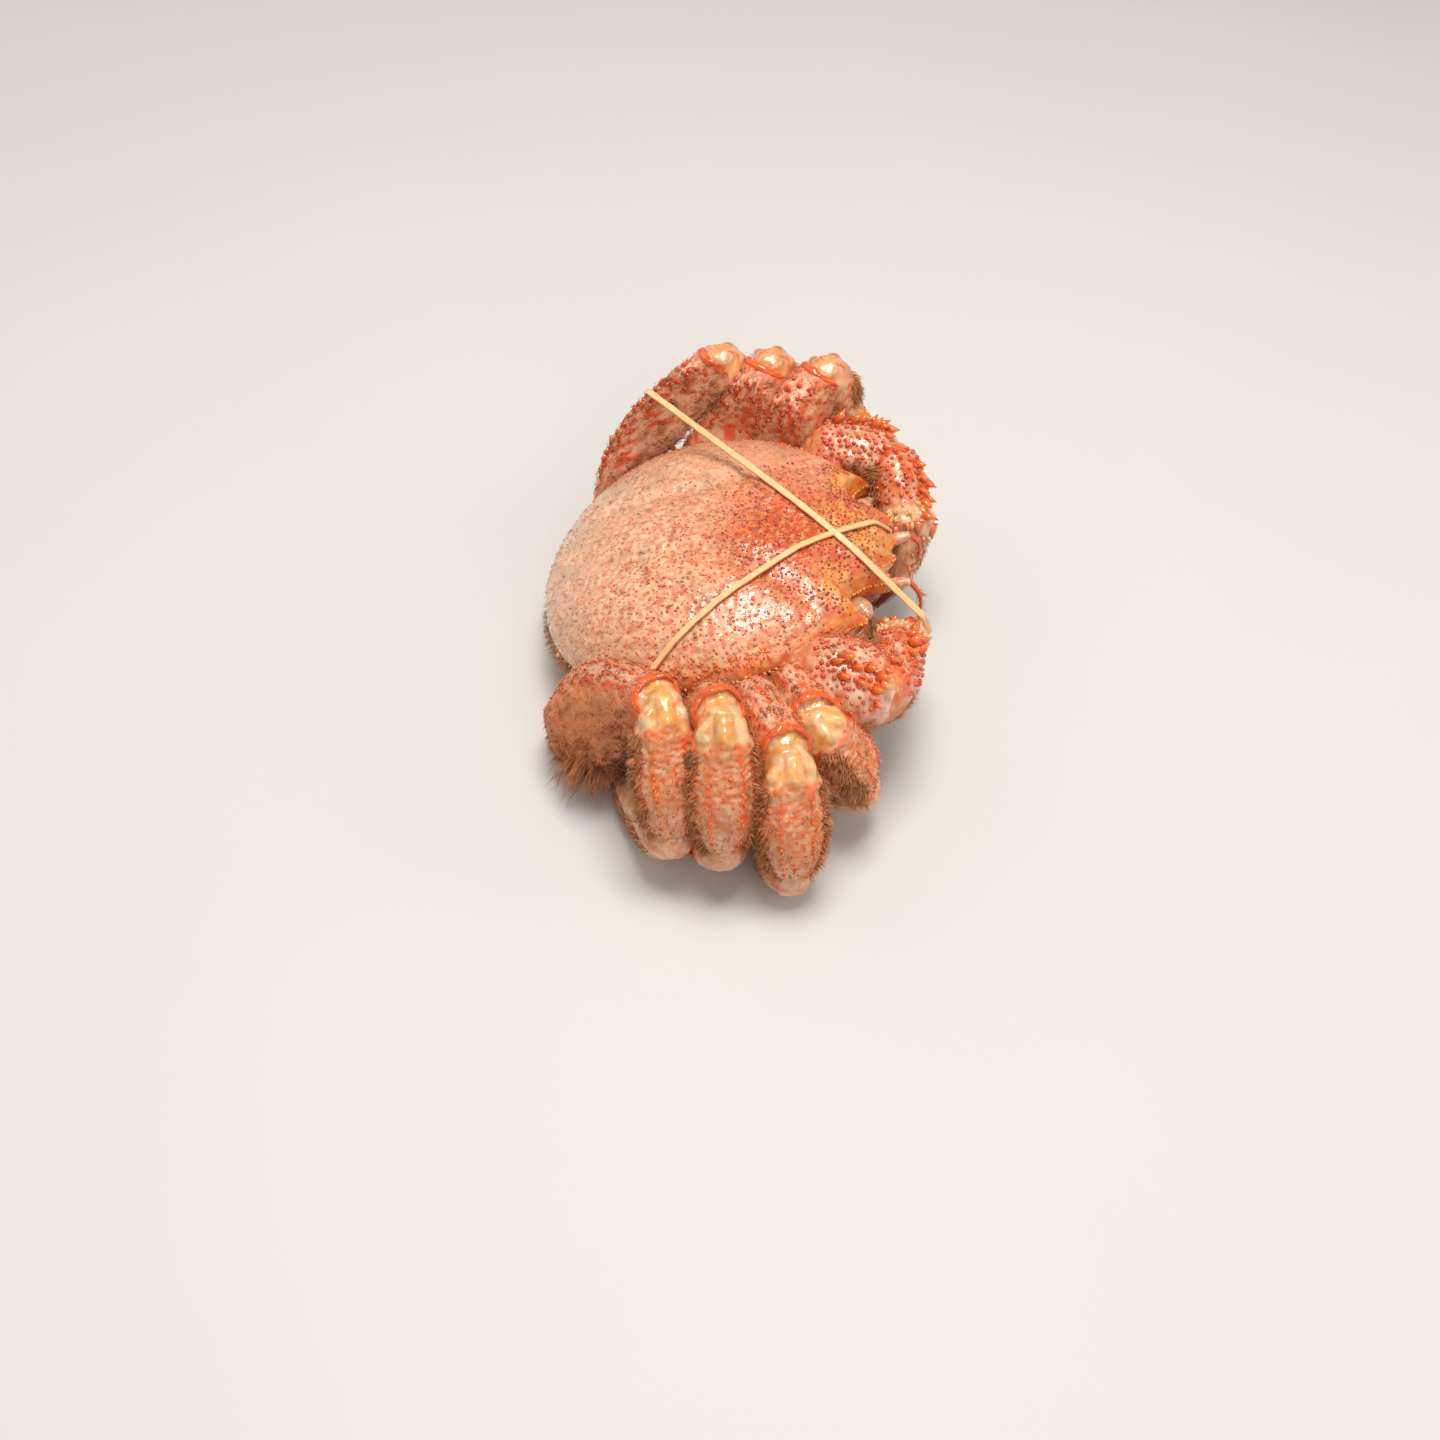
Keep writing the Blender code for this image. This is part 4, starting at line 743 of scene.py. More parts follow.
def carpus_patches(skin, draw, flip=1.0):
    """Segment below the knee: a bare joint with a ridge between two grooves and a knob at each side, then
    shell with broken orange lines down its middle and edges, cross marks and wrinkles, and a pale end."""
    u, signed = skin.place[:, None], skin.angle[None] * flip
    a = np.abs(signed)
    edge = u + 0.022 * ripple(skin.co, 0.0050, 21) + 0.05 * bell(a, 0.5)
    joint = ease(0.160, 0.115, edge)
    height = 0.0012 * bell(u - 0.05, 0.08) * bell(signed - 0.05, 0.26)
    height += 0.0008 * bell(u - 0.03, 0.06) * bell(signed - 1.0, 0.30)
    height -= 0.0010 * bell(u - 0.04, 0.08) * (bell(signed + 0.42, 0.16) + 0.7 * bell(signed - 0.52, 0.14))
    height += 0.0011 * bell(u - 0.05, 0.06) * bell(signed + 0.95, 0.28)
    height += 0.0004 * bell(u - 0.17, 0.03) * ease(2.2, 1.6, a)
    lines = 0.0005 * bell(a - 1.25, 0.20) + 0.0004 * bell(signed - 0.50, 0.16)
    height += (1 - joint) * (lines + 0.0003 * bell(signed + 0.42, 0.12))
    wrinkle = np.sin(u * 95.0 + 2.5 * ripple(skin.co, 0.006, 22)) * ease(0.18, 0.26, u) * ease(0.62, 0.42, u)
    height += 0.00020 * wrinkle * ease(1.35, 1.0, a) * (1 - bell(a, 0.14))
    height += 0.00012 * ripple(skin.co, 0.0018, 23) * (1 - joint)
    height += 0.00022 * ripple(skin.co, 0.0048, 29) * joint
    skin = raised(skin, height)
    mottle = ripple(skin.co, 0.0040, 24)
    tint = mix("velvet", "pale", limit(0.16 + 0.42 * mottle))
    tint = mix(tint, "pale", 0.75 * ease(0.66, 0.88, u + 0.04 * mottle) * bell(signed + 0.5, 0.6))
    tint = mix(tint, "cream", 0.85 * bell(signed + 1.40, 0.16) * ease(0.3, 0.5, u))
    marks = streaks(skin, 1.25, 0.0023, 26)
    tint = mix(tint, "rim", 0.90 * marks * ease(2.4, 1.8, a) * ease(0.95, 0.30, u))
    tint = mix(tint, "cream", 0.4 * ease(0.1, 0.4, ripple(skin.co, 0.0034, 28)) * (1 - marks))
    broken = ease(-0.25, 0.15, ripple(skin.co, 0.0055, 25))
    line = np.maximum(bell(signed - 0.50, 0.17), bell(signed + 1.75, 0.20))
    line = np.maximum(line, 0.8 * bell(signed + 0.42, 0.10))
    warm = mix("rim", "spine", limit(0.4 + 0.4 * mottle))
    tint = mix(tint, warm, 0.90 * line * broken)
    tint = mix(tint, joint_tint(skin, flip, 27), joint)
    tint = mix(tint, "rim", 0.55 * bell(edge - 0.150, 0.018) * ease(2.0, 1.5, a) * broken)
    gloss = 0.45 + 0.22 * joint + 0.2 * mottle
    s = sizes().limb_spine
    rules = (("spine", 28, 4, 0.22, 0.94, 15, s * 0.70, s * 0.45, 0.6, "rim", "spine"),
             ("bead", -24, 4, 0.30, 0.92, 12, s * 0.45, s * 0.36, 0.5, "rim", "spine"),
             ("bead", 4, 10, 0.28, 0.90, 9, s * 0.35, s * 0.32, 0.5, "dot", "rim"),
             ("bead", -55, 12, 0.28, 0.90, 9, s * 0.35, s * 0.32, 0.5, "dot", "rim"),
             ("spine", 66, 6, 0.22, 0.92, 15, s * 0.75, s * 0.50, 0.7, "rim", "spine"),
             ("spine", -96, 6, 0.26, 0.92, 15, s * 0.75, s * 0.45, 0.7, "rim", "spine"))
    patches = [tube_patch(skin.co, tint, limit(gloss), 0.35 * (1 - joint))]
    patches += stud_rows(skin, rules, flip, draw)
    return skin, patches


def streaks(skin, stretch, size, seed):
    """Share of short marks at each point of a limb: a wandering value of the unrolled limb, whose length is
    stretched so that the marks run along it below 1 and across it above."""
    reach = np.linalg.norm(skin.co[-1].mean(0) - skin.co[0].mean(0))
    ways = (0.008 * wave(skin.angle) / stretch ** 0.5 for wave in (np.sin, np.cos))
    flat = stacked(skin.place[:, None] * reach * stretch, *ways)
    return ease(0.24, 0.40, ripple(flat, size, seed))


def joint_tint(skin, flip, seed):
    """Colours of a bare joint: cream, whiter in clouds of painted highlight, with a yolk-coloured block down
    its middle between orange creases, partly the joint's own orange and partly painted shade in its
    grooves. On the far side it is browner, with red streaks."""
    signed = skin.angle[None] * flip
    cloud = ripple(skin.co, 0.0055, seed)
    tint = mix("cream", "yolk", limit(0.24 + 0.25 * cloud))
    # Painted highlights: whiter clouds over the cream
    tint = mix(tint, colour("pale") * 1.10, 0.8 * limit(ripple(skin.co, 0.0045, seed + 1)))
    tint = mix(tint, "velvet", 0.7 * limit(ripple(skin.co, 0.0035, seed + 2) - 0.1))
    tint = mix(tint, "yolk", 0.85 * bell(signed - 0.08 + 0.2 * cloud, 0.24))
    specks = ease(0.2, 0.45, ripple(skin.co, 0.0030, seed + 3))
    tint = mix(tint, "spine", 0.8 * specks * bell(signed + 0.9, 0.5))
    if flip > 0:
        tint = mix(tint, "velvet", 0.45)
        marks = streaks(skin, 1.6, 0.0034, seed + 4)
        tint = mix(tint, "rim", 0.75 * marks * ease(2.0, 1.2, np.abs(signed)))
    # Creases along the grooves: partly the joint's own orange, partly painted shade
    creases = np.maximum(bell(signed + 0.40 + 0.15 * cloud, 0.09), bell(signed - 0.50, 0.09))
    tint = mix(tint, "spine", 0.60 * creases)
    return mix(tint, "spine", 0.45 * bell(signed + 1.35, 0.18))


def shank_patches(skin, kind, draw, flip=1.0):
    """Propodus or dactylus: pale shell with fine grooves along it and broken orange edges; the dactylus ends
    in a smooth amber claw."""
    u, a = skin.place[:, None], np.abs(skin.angle)[None]
    height = 0.00022 * np.cos(skin.angle[None] * 6.0) * ease(0.02, 0.15, u) * ease(1.0, 0.8, u)
    height += 0.00016 * ripple(skin.co, 0.0024, 31)
    skin = raised(skin, height)
    mottle = ripple(skin.co, 0.0045, 32)
    tint = mix("pale", "velvet", limit(0.35 + 0.45 * mottle))
    line = np.maximum(bell(a - 1.57, 0.22), 0.7 * bell(a, 0.15))
    tint = mix(tint, "rim", 0.7 * line * ease(-0.2, 0.2, ripple(skin.co, 0.0055, 33)))
    if kind == "dactylus":
        tint = mix(tint, "spine", 0.5 * ease(0.3, 0.7, u))
        tint = mix(tint, "shade", 0.85 * ease(0.78, 0.92, u))
    s = sizes().limb_spine
    rules = (("bead", 90, 8, 0.06, 0.85, 12, s * 0.55, s * 0.32, 0.5, "rim", "spine"),
             ("bead", -90, 8, 0.06, 0.85, 12, s * 0.55, s * 0.32, 0.5, "rim", "spine"),
             ("bead", 0, 8, 0.06, 0.85, 10, s * 0.5, s * 0.3, 0.5, "rim", "spine"))
    patches = [tube_patch(skin.co, tint, 0.5 + 0.2 * np.clip(mottle, -1, 1), 0.35)]
    if kind == "propodus":
        patches += stud_rows(skin, rules, flip, draw)
    return skin, patches


# Tufts of each kind of segment by the rules of limb_tufts, and those of the near hind merus's lower lobe
LEG_TUFTS = {
    "merus": (
        (1250, 0.0, 0.94, 180, 180, 0.62, 0.30, 1.0, 0.1), (170, 0.02, 0.93, 120, 40, 1.1, 0.58, 0.8, 0.2),
        (170, 0.02, 0.93, -120, 40, 1.1, 0.58, 0.8, 0.2), (150, 0.10, 0.93, 0, 80, 0.7, 0.60, 0.8, 0.2)),
    "carpus": (
        (250, 0.16, 0.98, 72, 20, 1.30, 0.70, 0.5, 0.3), (250, 0.16, 0.98, -76, 20, 1.30, 0.70, 0.5, 0.3),
        (90, 0.30, 0.98, 0, 60, 0.35, 0.55, 1.0, 0.1), (120, 0.15, 0.98, 180, 60, 1.0, 0.55, 0.9, 0.2)),
    "propodus": (
        (90, 0.05, 0.98, 90, 25, 0.9, 0.55, 0.8, 0.3), (90, 0.05, 0.98, -90, 25, 0.9, 0.55, 0.8, 0.3),
        (150, 0.05, 0.98, 180, 180, 0.4, 0.3, 1.0, 0.1)),
    "dactylus": (
        (50, 0.04, 0.66, 90, 30, 0.8, 0.55, 0.9, 0.2), (50, 0.04, 0.66, -90, 30, 0.8, 0.55, 0.9, 0.2),
        (70, 0.04, 0.60, 180, 180, 0.4, 0.3, 1.0, 0.1))}
LOBE_WAY = (-0.60, 0.25, -0.76)
LOBE_TUFTS = ((420, -0.04, 0.50, 180, 75, 1.2, 0.34, -0.8, 0.3),
              (420, -0.04, 0.40, 180, 60, 5.2, 0.56, -0.5, 0.2))


class CRAB_OT_legs(bpy.types.Operator):
    """Build the eight legs: merus, carpus, propodus and dactylus of each."""
    bl_idname = "crab.legs"
    bl_label = "Legs"

    def execute(self, context):
        material = shell_material("boiled_legs", 0.0013)
        for pair in (2, 3, 4, 5):
            for side in SIDES:
                for kind, segment in leg_segments(side, pair).items():
                    patches = leg_patches(segment, kind, side, pair)[1]
                    name = "leg%d_%s_%s" % (pair, kind, side)
                    make_piece(name + "_shell", patches, material, (name,))
        return {"FINISHED"}


def leg_patches(segment, kind, side, pair):
    """Skin and patches of one leg segment."""
    draw = np.random.default_rng(1000 * pair + 100 * LEG_KINDS.index(kind) + int(SIDES[side] > 0))
    flip = SIDES[side]
    if kind == "merus":
        skin = segment_skin(segment, 76, 64)
        if pair == 5 and side == "right":
            lobe = limit(skin.normal @ np.array(LOBE_WAY)) ** 1.2 * bell(skin.place - 0.22, 0.32)[:, None]
            skin = raised(skin, 0.0090 * lobe)
        # Painted light on the far legs' meri, strongest on the hind one
        far_painted_light = 0.0 if side == "right" else 0.75 if pair == 5 else 0.30
        return merus_patches(skin, draw, flip, pair == 2 or (side == "right" and pair < 5), far_painted_light)
    if kind == "carpus":
        return carpus_patches(segment_skin(segment, 84, 72), draw, flip)
    return shank_patches(segment_skin(segment, 48, 48), kind, draw, flip)


def beaded_patches(skin, kind, draw, flip=1.0):
    """Carpus or palm of a claw: pinkish white shell with rows of red beads over its upper and outer faces,
    and orange pointed spines with yellow tips along its top edge and above the next joint. The palm is
    blotched with orange and ends in cream shell with small cream spines."""
    palm = kind == "claw_palm"
    end, count = (0.66, 110) if palm else (0.94, 165)
    u, a = skin.place[:, None], skin.angle[None] * flip
    top = ease(-1.95, -1.35, a) * ease(1.75, 1.3, a)
    ridge = bell(u - (0.92 if palm else 0.95), 0.05) * top
    height = 0.00025 * ripple(skin.co, 0.0036, 41) + 0.0007 * ridge
    height += 0.0022 * limit(skin.normal @ unit(np.array((-0.7, 0.0, -0.7)))) * bell(u - 0.55, 0.4)
    skin = raised(skin, height)
    mottle = ripple(skin.co, 0.0045, 42)
    tint = mix("pale", "velvet", limit((0.85 if palm else 0.22) + 0.6 * mottle))
    tint = mix(tint, "velvet", 0.75 * (1.0 - top) + 0.8 * ease(0.22, 0.0, u) * top)
    patchy = ease(-0.2, 0.2, ripple(skin.co, 0.0050, 43))
    blotches = (0.75 if palm else 0.35) * ease(0.1, 0.45, ripple(skin.co, 0.0060, 45)) * top * (1 - ridge)
    tint = mix(tint, "rim", 0.85 * ridge * patchy + blotches)
    tint = mix(tint, "pale", ease(1.0, 1.05, u))
    tint = mix(tint, colour("cream") * 1.05, 0.8 * ease(end, end + 0.12, u) * palm)
    gloss = 0.30 + 0.5 * top + 0.15 * mottle
    width = sizes().bead
    k = np.arange(count)
    places = 0.02 + (end - 0.02) * ((k * GOLDEN_SHARE) % 1.0) + draw.normal(0, 0.008, count)
    angles = flip * (np.radians(-102) + np.radians(186) * (k + 0.5) / count + draw.normal(0, 0.05, count))
    roots, normals, along = spots(skin, places, angles)[:3]
    clear = clear_of_back(roots)
    roots, ways = roots[clear], unit(normals[clear] + along[clear] * 0.5)
    size = draw.uniform(0.65, 1.30, len(roots))
    deep = draw.uniform(0, 1, len(roots))
    patches = [tube_patch(skin.co, tint, limit(gloss), 0.35),
               studs(roots, ways, width * 1.1 * size, width * size, mix("dot", "rim", deep),
                     mix("dot", "rim", deep * 0.6), BEAD, 6, gloss=1.0)]
    rules = (("spine", 14, 6, 0.20, 0.95, 5, 0.0040, 0.00170, 0.8, "rim", "spine"),
             ("spine", 42, 6, 0.40, 0.95, 3, 0.0036, 0.00160, 0.8, "rim", "spine"),
             ("spine", -100, 5, 0.15, 0.95, 5, 0.0022, 0.00120, 0.5, "rim", "yolk"))
    if palm:
        rules += (("spine", -20, 70, 0.68, 0.98, 26, 0.0016, 0.00090, 0.6, "cream", "yolk"),)
    patches += stud_rows(skin, rules, flip, draw)
    count = 7
    turn = np.radians(np.linspace(-112, 56, count) + draw.uniform(-7, 7, count)) * flip
    roots, normals, along = spots(skin, np.full(count, 0.945), turn)[:3]
    size = draw.uniform(0.7, 1.3, count)
    patches.append(studs(roots, unit(normals * 0.8 + along), 0.0034 * size, 0.0017 * size, "rim",
                         mix("spine", "cream", draw.uniform(0, 1, count)), CONE, 7, gloss=0.9))
    return skin, patches


def finger_patches(skin, draw, flip=1.0):
    """Finger of a claw: spiny pale base running into a smooth brown tip, with blunt teeth inside."""
    u, a = skin.place[:, None], skin.angle[None]
    grooves = 0.00018 * np.cos(a * 5.0) * ease(0.3, 0.5, u)
    skin = raised(skin, grooves + 0.00012 * ripple(skin.co, 0.002, 51))
    tint = mix("pale", "blush", limit(0.4 + 0.5 * ripple(skin.co, 0.004, 52)))
    tint = mix(tint, "shade", 0.9 * ease(0.55, 0.8, u))
    rules = (("spine", 0, 25, 0.0, 0.5, 12, 0.0014, 0.0008, 0.5, "pale", "cream"),
             ("spine", 50, 20, 0.0, 0.5, 9, 0.0014, 0.0008, 0.5, "rim", "cream"),
             ("spine", -50, 20, 0.0, 0.5, 9, 0.0014, 0.0008, 0.5, "rim", "cream"))
    return skin, [tube_patch(skin.co, tint, 0.6)] + stud_rows(skin, rules, flip, draw)


CLAW_TUFTS = {
    "claw_merus": ((420, 0.3, 0.98, 0, 180, 0.55, 0.3, 0.9, 0.1),),
    "claw_carpus": (
        (160, 0.05, 0.95, -45, 85, 0.35, 0.5, 0.9, 0.0), (420, 0.05, 1.0, -116, 42, 2.6, 0.66, 0.4, -0.3),
        (260, 0.05, 1.0, 140, 45, 1.3, 0.5, 0.7, 0.2)),
    "claw_palm": (
        (130, 0.05, 0.95, -45, 85, 0.35, 0.5, 0.9, 0.0), (380, 0.02, 0.98, -116, 42, 2.4, 0.66, 0.4, -0.3),
        (240, 0.05, 0.98, 140, 45, 1.3, 0.5, 0.7, 0.2)),
    "claw_dactylus": ((110, 0.0, 0.55, 0, 180, 0.6, 0.5, 0.8, 0.1),),
    "claw_thumb": ((110, 0.0, 0.55, 0, 180, 0.6, 0.5, 0.8, 0.1),)}


def claw_patches(side):
    """Skin and patches of each segment of one claw."""
    made = {}
    flip = -SIDES[side]
    for k, (kind, segment) in enumerate(claw_segments(side).items()):
        draw = np.random.default_rng(500 + 10 * k + int(SIDES[side] > 0))
        if kind == "claw_merus":
            made[kind] = merus_patches(segment_skin(segment, 64, 60), draw, flip)
        elif kind in ("claw_carpus", "claw_palm"):
            made[kind] = beaded_patches(segment_skin(segment, 72, 72), kind, draw, flip)
        else:
            made[kind] = finger_patches(segment_skin(segment, 48, 40), draw, flip)
    return made


class CRAB_OT_claws(bpy.types.Operator):
    """Build both claws: merus, carpus, palm with its fixed finger, and the moving finger."""
    bl_idname = "crab.claws"
    bl_label = "Claws"

    def execute(self, context):
        material = shell_material("boiled_claws", 0.0019)
        for side in SIDES:
            made = claw_patches(side)
            made["claw_palm"][1].extend(made.pop("claw_thumb")[1])
            for kind, (_, patches) in made.items():
                name = "%s_%s" % (kind, side)
                make_piece(name + "_shell", patches, material, (name,))
        return {"FINISHED"}


# Body

def margin_level(y):
    """Level of the margin along the body: a parabola that falls towards both ends."""
    return -MARGIN_DROOP * 0.5 * (2.0 * y / LENGTH - 0.1) ** 2


def outline_points(steps=440):
    """The carapace's outline at even steps along its edge, its corners slightly rounded."""
    half = np.array(OUTLINE) * LENGTH - np.array((0.0, 0.5 * LENGTH))
    loop = np.concatenate([half, (half * (-1, 1))[1:-1][::-1], half[:1]])
    run = run_along(loop)
    points = points_at(loop, run, np.linspace(0, run[-1], steps, endpoint=False))
    front = ease(-0.36 * LENGTH, -0.40 * LENGTH, points[:, 1])[:, None]
    for keep in (0.0, 0.0, *[0.85] * 12):
        smooth = (np.roll(points, 1, 0) + points * 2 + np.roll(points, -1, 0)) / 4
        points = smooth + (points - smooth) * front * keep
    return points


def back_relief(x, y):
    """Swellings and grooves of the back, from plan shares: paired swellings at the sides and front, a
    raised middle, and the furrows that part them."""
    a = np.abs(x)
    furrow = a - (0.10 + 0.55 * (0.50 - y))
    relief = 0.0012 * bell(a - 0.25, 0.13) * bell(y - 0.62, 0.20)
    relief += 0.0009 * bell(a - 0.10, 0.07) * bell(y - 0.30, 0.12)
    relief += 0.0008 * bell(x, 0.08) * bell(y - 0.68, 0.12)
    relief -= 0.0012 * bell(furrow, 0.035) * ease(0.08, 0.14, a) * ease(0.42, 0.30, a) * ease(0.15, 0.25, y)
    relief -= 0.0010 * bell(a - 0.115, 0.02) * ease(0.48, 0.54, y) * ease(0.84, 0.76, y)
    relief -= 0.0006 * bell(x, 0.012) * ease(0.30, 0.20, y)
    relief -= 0.0011 * bell(a - 0.135, 0.03) * ease(0.20, 0.12, y)
    return relief + 0.0008 * bell(a - 0.10, 0.05) * bell(y - 0.07, 0.05)


def front_lift(scale, y):
    """Low raised border just inside the front edge, by share of the outline and plan share."""
    return 0.0006 * bell(scale - 0.955, 0.03) * ease(0.24, 0.16, y)


def dome_height(scale):
    """Height of the back over its margin at a share of the way from the crown to the outline."""
    return DOME_HEIGHT * np.sqrt(np.maximum(1.0 - scale ** DOME_POWER, 0.0))


def dome_point(scale, outline, smooth):
    """Point of the back at a share of the outline: the outline blends into an oval towards the crown."""
    blend = (scale ** BLEND_POWER)[:, None, None]
    centre = np.array((0.0, CENTRE_Y))
    flat = centre + ((outline - centre) * blend + (smooth - centre) * (1.0 - blend)) * scale[:, None, None]
    height = dome_height(scale)[:, None] + margin_level(flat[..., 1])
    return np.concatenate([flat, height[..., None]], -1)


def back_tint(level):
    """Colours of the back from its plan: beige with cream clouds, tan on the far flank, pale and plain at
    the rear, pinker and blotched nearer the front, an orange red patch behind yellow cream front plates."""
    x, y = level[..., 0] / LENGTH, level[..., 1] / LENGTH + 0.5
    broad, cloud = ripple(level, 0.018, 61), ripple(level, 0.0075, 62)
    fine = ripple(level, 0.0030, 65)
    busy = back_busy(x, y)
    tint = mix("back", "blush", limit(0.10 + 0.22 * broad + 0.30 * busy))
    tint = mix(tint, "velvet", 0.22 * ease(0.18, 0.42, x) * ease(0.95, 0.6, y))
    tint = mix(tint, "pale", 0.60 * ease(0.62, 0.95, y) * (0.8 + 0.2 * cloud))
    tint = mix(tint, "cream", 0.75 * limit(cloud - 0.05) * (0.20 + 0.80 * busy))
    tint = mix(tint, "patch", 0.66 * ease(0.10, 0.40, fine) * busy)
    tint = mix(tint, colour("cream") * 1.1, 0.75 * ease(0.10, 0.40, ripple(level, 0.0034, 69)) * busy)
    patch = red_patch(x, y)
    tint = mix(tint, "patch", limit(patch * (1.1 + 0.3 * cloud)))
    tint = mix(tint, "front", 0.75 * patch * ease(0.10, 0.40, ripple(level, 0.0030, 66)))
    side = np.abs(x)
    plates = ease(0.20, 0.14, y + 0.012 * cloud) * ease(0.34, 0.28, side)
    tint = mix(tint, "patch", 0.75 * plates)
    pads = np.maximum(bell(side, 0.085), bell(side - 0.215, 0.075)) + 0.25 * cloud
    warm = mix("front", "rim", 0.65 * ease(0.05, 0.45, ripple(level, 0.0045, 59)))
    return mix(tint, warm, plates * ease(0.25, 0.6, pads))


def back_busy(x, y):
    """How strongly the back is granulated at a place in plan: much nearer the front and on the near flank,
    hardly at the rear and on the far flank."""
    return ease(0.30, -0.12, x + 0.25 * (y - 0.5)) * ease(1.02, 0.55, y) * 0.8 + 0.2 * ease(0.85, 0.5, y)


def red_patch(x, y):
    """Share of the orange red patch at a place in plan: an oval a little nearer one flank."""
    return bell(np.hypot((x + 0.065) / 0.25, (y - 0.26) / 0.17), 1.0)


class CRAB_OT_back(bpy.types.Operator):
    """Build the carapace with its teeth and granules."""
    bl_idname = "crab.back"
    bl_label = "Carapace"

    def execute(self, context):
        material = shell_material("boiled_back", 0.0016)
        make_piece("carapace_shell", back_patches(), material, ("carapace",))
        return {"FINISHED"}


def back_patches():
    """Patches of the carapace: its shell, its granules and its teeth."""
    draw = np.random.default_rng(7)
    outline = outline_points(400)
    bearing = np.arctan2(outline[:, 1] - CENTRE_Y, outline[:, 0])
    smooth = stacked(OVAL_HALF[0] * np.cos(bearing), CENTRE_Y + OVAL_HALF[1] * np.sin(bearing))
    scale = 1.0 - (1.0 - np.linspace(0.02, 1.0, 96)) ** 1.35
    top = dome_point(scale, outline, smooth)
    x, y = top[..., 0] / LENGTH, top[..., 1] / LENGTH + 0.5
    lift = back_relief(x, y) * ease(1.0, 0.88, scale)[:, None] + 0.00016 * ripple(top, 0.0028, 63)
    top[..., 2] += lift + front_lift(scale[:, None], y)
    place = np.linspace(0.0, 1.0, 26)[1:]
    shrink, drop = (column[:, None] for column in smooth_rows(UNDER_ROWS, place).T)
    flat = stacked(outline[:, 0] * shrink, CENTRE_Y + (outline[:, 1] - CENTRE_Y) * shrink)
    low = margin_level(flat[..., 1]) * shrink ** 4 - drop
    level = np.concatenate([top, np.concatenate([flat, low[..., None]], -1)])
    y = level[..., 1] / LENGTH + 0.5
    n = len(scale)
    edge, below = np.zeros((2, *y.shape))
    edge[:n] = ease(0.955, 0.99, scale)[:, None]
    edge[n:] = ease(0.5, 0.1, place)[:, None]
    below[n:] = ease(0.15, 0.5, place)[:, None]
    front = mix("rim", "yolk", ease(-0.3, 0.4, ripple(level, 0.0035, 68)))
    rim = mix(mix("spine", "pale", ease(0.72, 0.92, y)), front, 0.8 * ease(0.22, 0.14, y))
    tint = mix(back_tint(level), rim, edge * (0.55 + 0.35 * ripple(level, 0.0042, 60)))
    # Painted shade on the shell's underside, deeper in from the margin and darkest towards the front
    tint = mix(tint, mix("shade", "blush", 0.35 + 0.65 * ease(0.2, 0.6, y)), below)
    gloss = 0.62 + 0.25 * ripple(level, 0.010, 64) - 0.4 * below
    shell = tube_patch(settle(level), tint, limit(gloss))
    return [shell, granule_patch(draw), tooth_patch(draw)]


def levelled(points):
    """Points as they are on the level body: the turn of settle() undone."""
    c, s = math.cos(PITCH), math.sin(PITCH)
    x, y, z = points[..., 0], points[..., 1], points[..., 2] - LIFT
    return stacked(x, y * c - z * s, z * c + y * s)


def crown_distances(x, y):
    """Distances from the crown in plan: to a place, and past it to the carapace's outline and the oval."""
    outline = outline_points() - np.array((0.0, CENTRE_Y))
    bearing = np.arctan2(outline[:, 1], outline[:, 0])
    order = np.argsort(bearing)
    way = np.arctan2(y - CENTRE_Y, x)
    edge = np.interp(way, bearing[order], np.hypot(*outline.T)[order], period=TURN)
    oval = np.hypot(OVAL_HALF[0] * np.cos(way), OVAL_HALF[1] * np.sin(way))
    return np.hypot(x, y - CENTRE_Y), edge, oval


def plan_share(x, y):
    """Distance to the outline, and how far out a place in plan lies: 0 at the crown, 1 on the outline. The
    outline and the oval blend as in dome_point, so the share is found by a few damped steps."""
    run, edge, oval = crown_distances(x, y)
    share = run / edge
    for _ in range(6):
        inner = limit(share) ** BLEND_POWER
        share = 0.5 * share + 0.5 * run / (edge * inner + oval * (1.0 - inner))
    return edge, share


def underside_level(x, y):
    """Distance to the outline and share of it at a place in plan, with the level just below the carapace's
    underside there and the level just above its dome."""
    edge, share = plan_share(x, y)
    rows = np.array(UNDER_ROWS)
    inside = limit(share)
    drop = np.interp(inside, rows[::-1, 1], rows[::-1, 2])
    under = margin_level(y) * inside ** 4 - drop - SHELL_GAP
    return edge, share, under, dome_height(inside) + margin_level(y) + SHELL_GAP


def tucked(skin):
    """A limb's skin kept out of the carapace. A point inside the shell moves by the shorter of two ways:
    down out of its underside or outwards past its edge."""
    x, y, z = np.moveaxis(levelled(skin.co), -1, 0)
    edge, share, under = underside_level(x, y)[:3]
    inside = (share < CLEAR_SHARE) & (z > under)
    down, out = 0.8 * (z - under), (CLEAR_SHARE - share) * edge
    z = np.where(inside & (down <= out), under, z)
    grow = np.where(inside & (down > out), CLEAR_SHARE / np.maximum(share, 0.5), 1.0)
    co = settle(stacked(x * grow, CENTRE_Y + (y - CENTRE_Y) * grow, z))
    return Skin(co, skin_normals(co), skin.place, skin.angle)


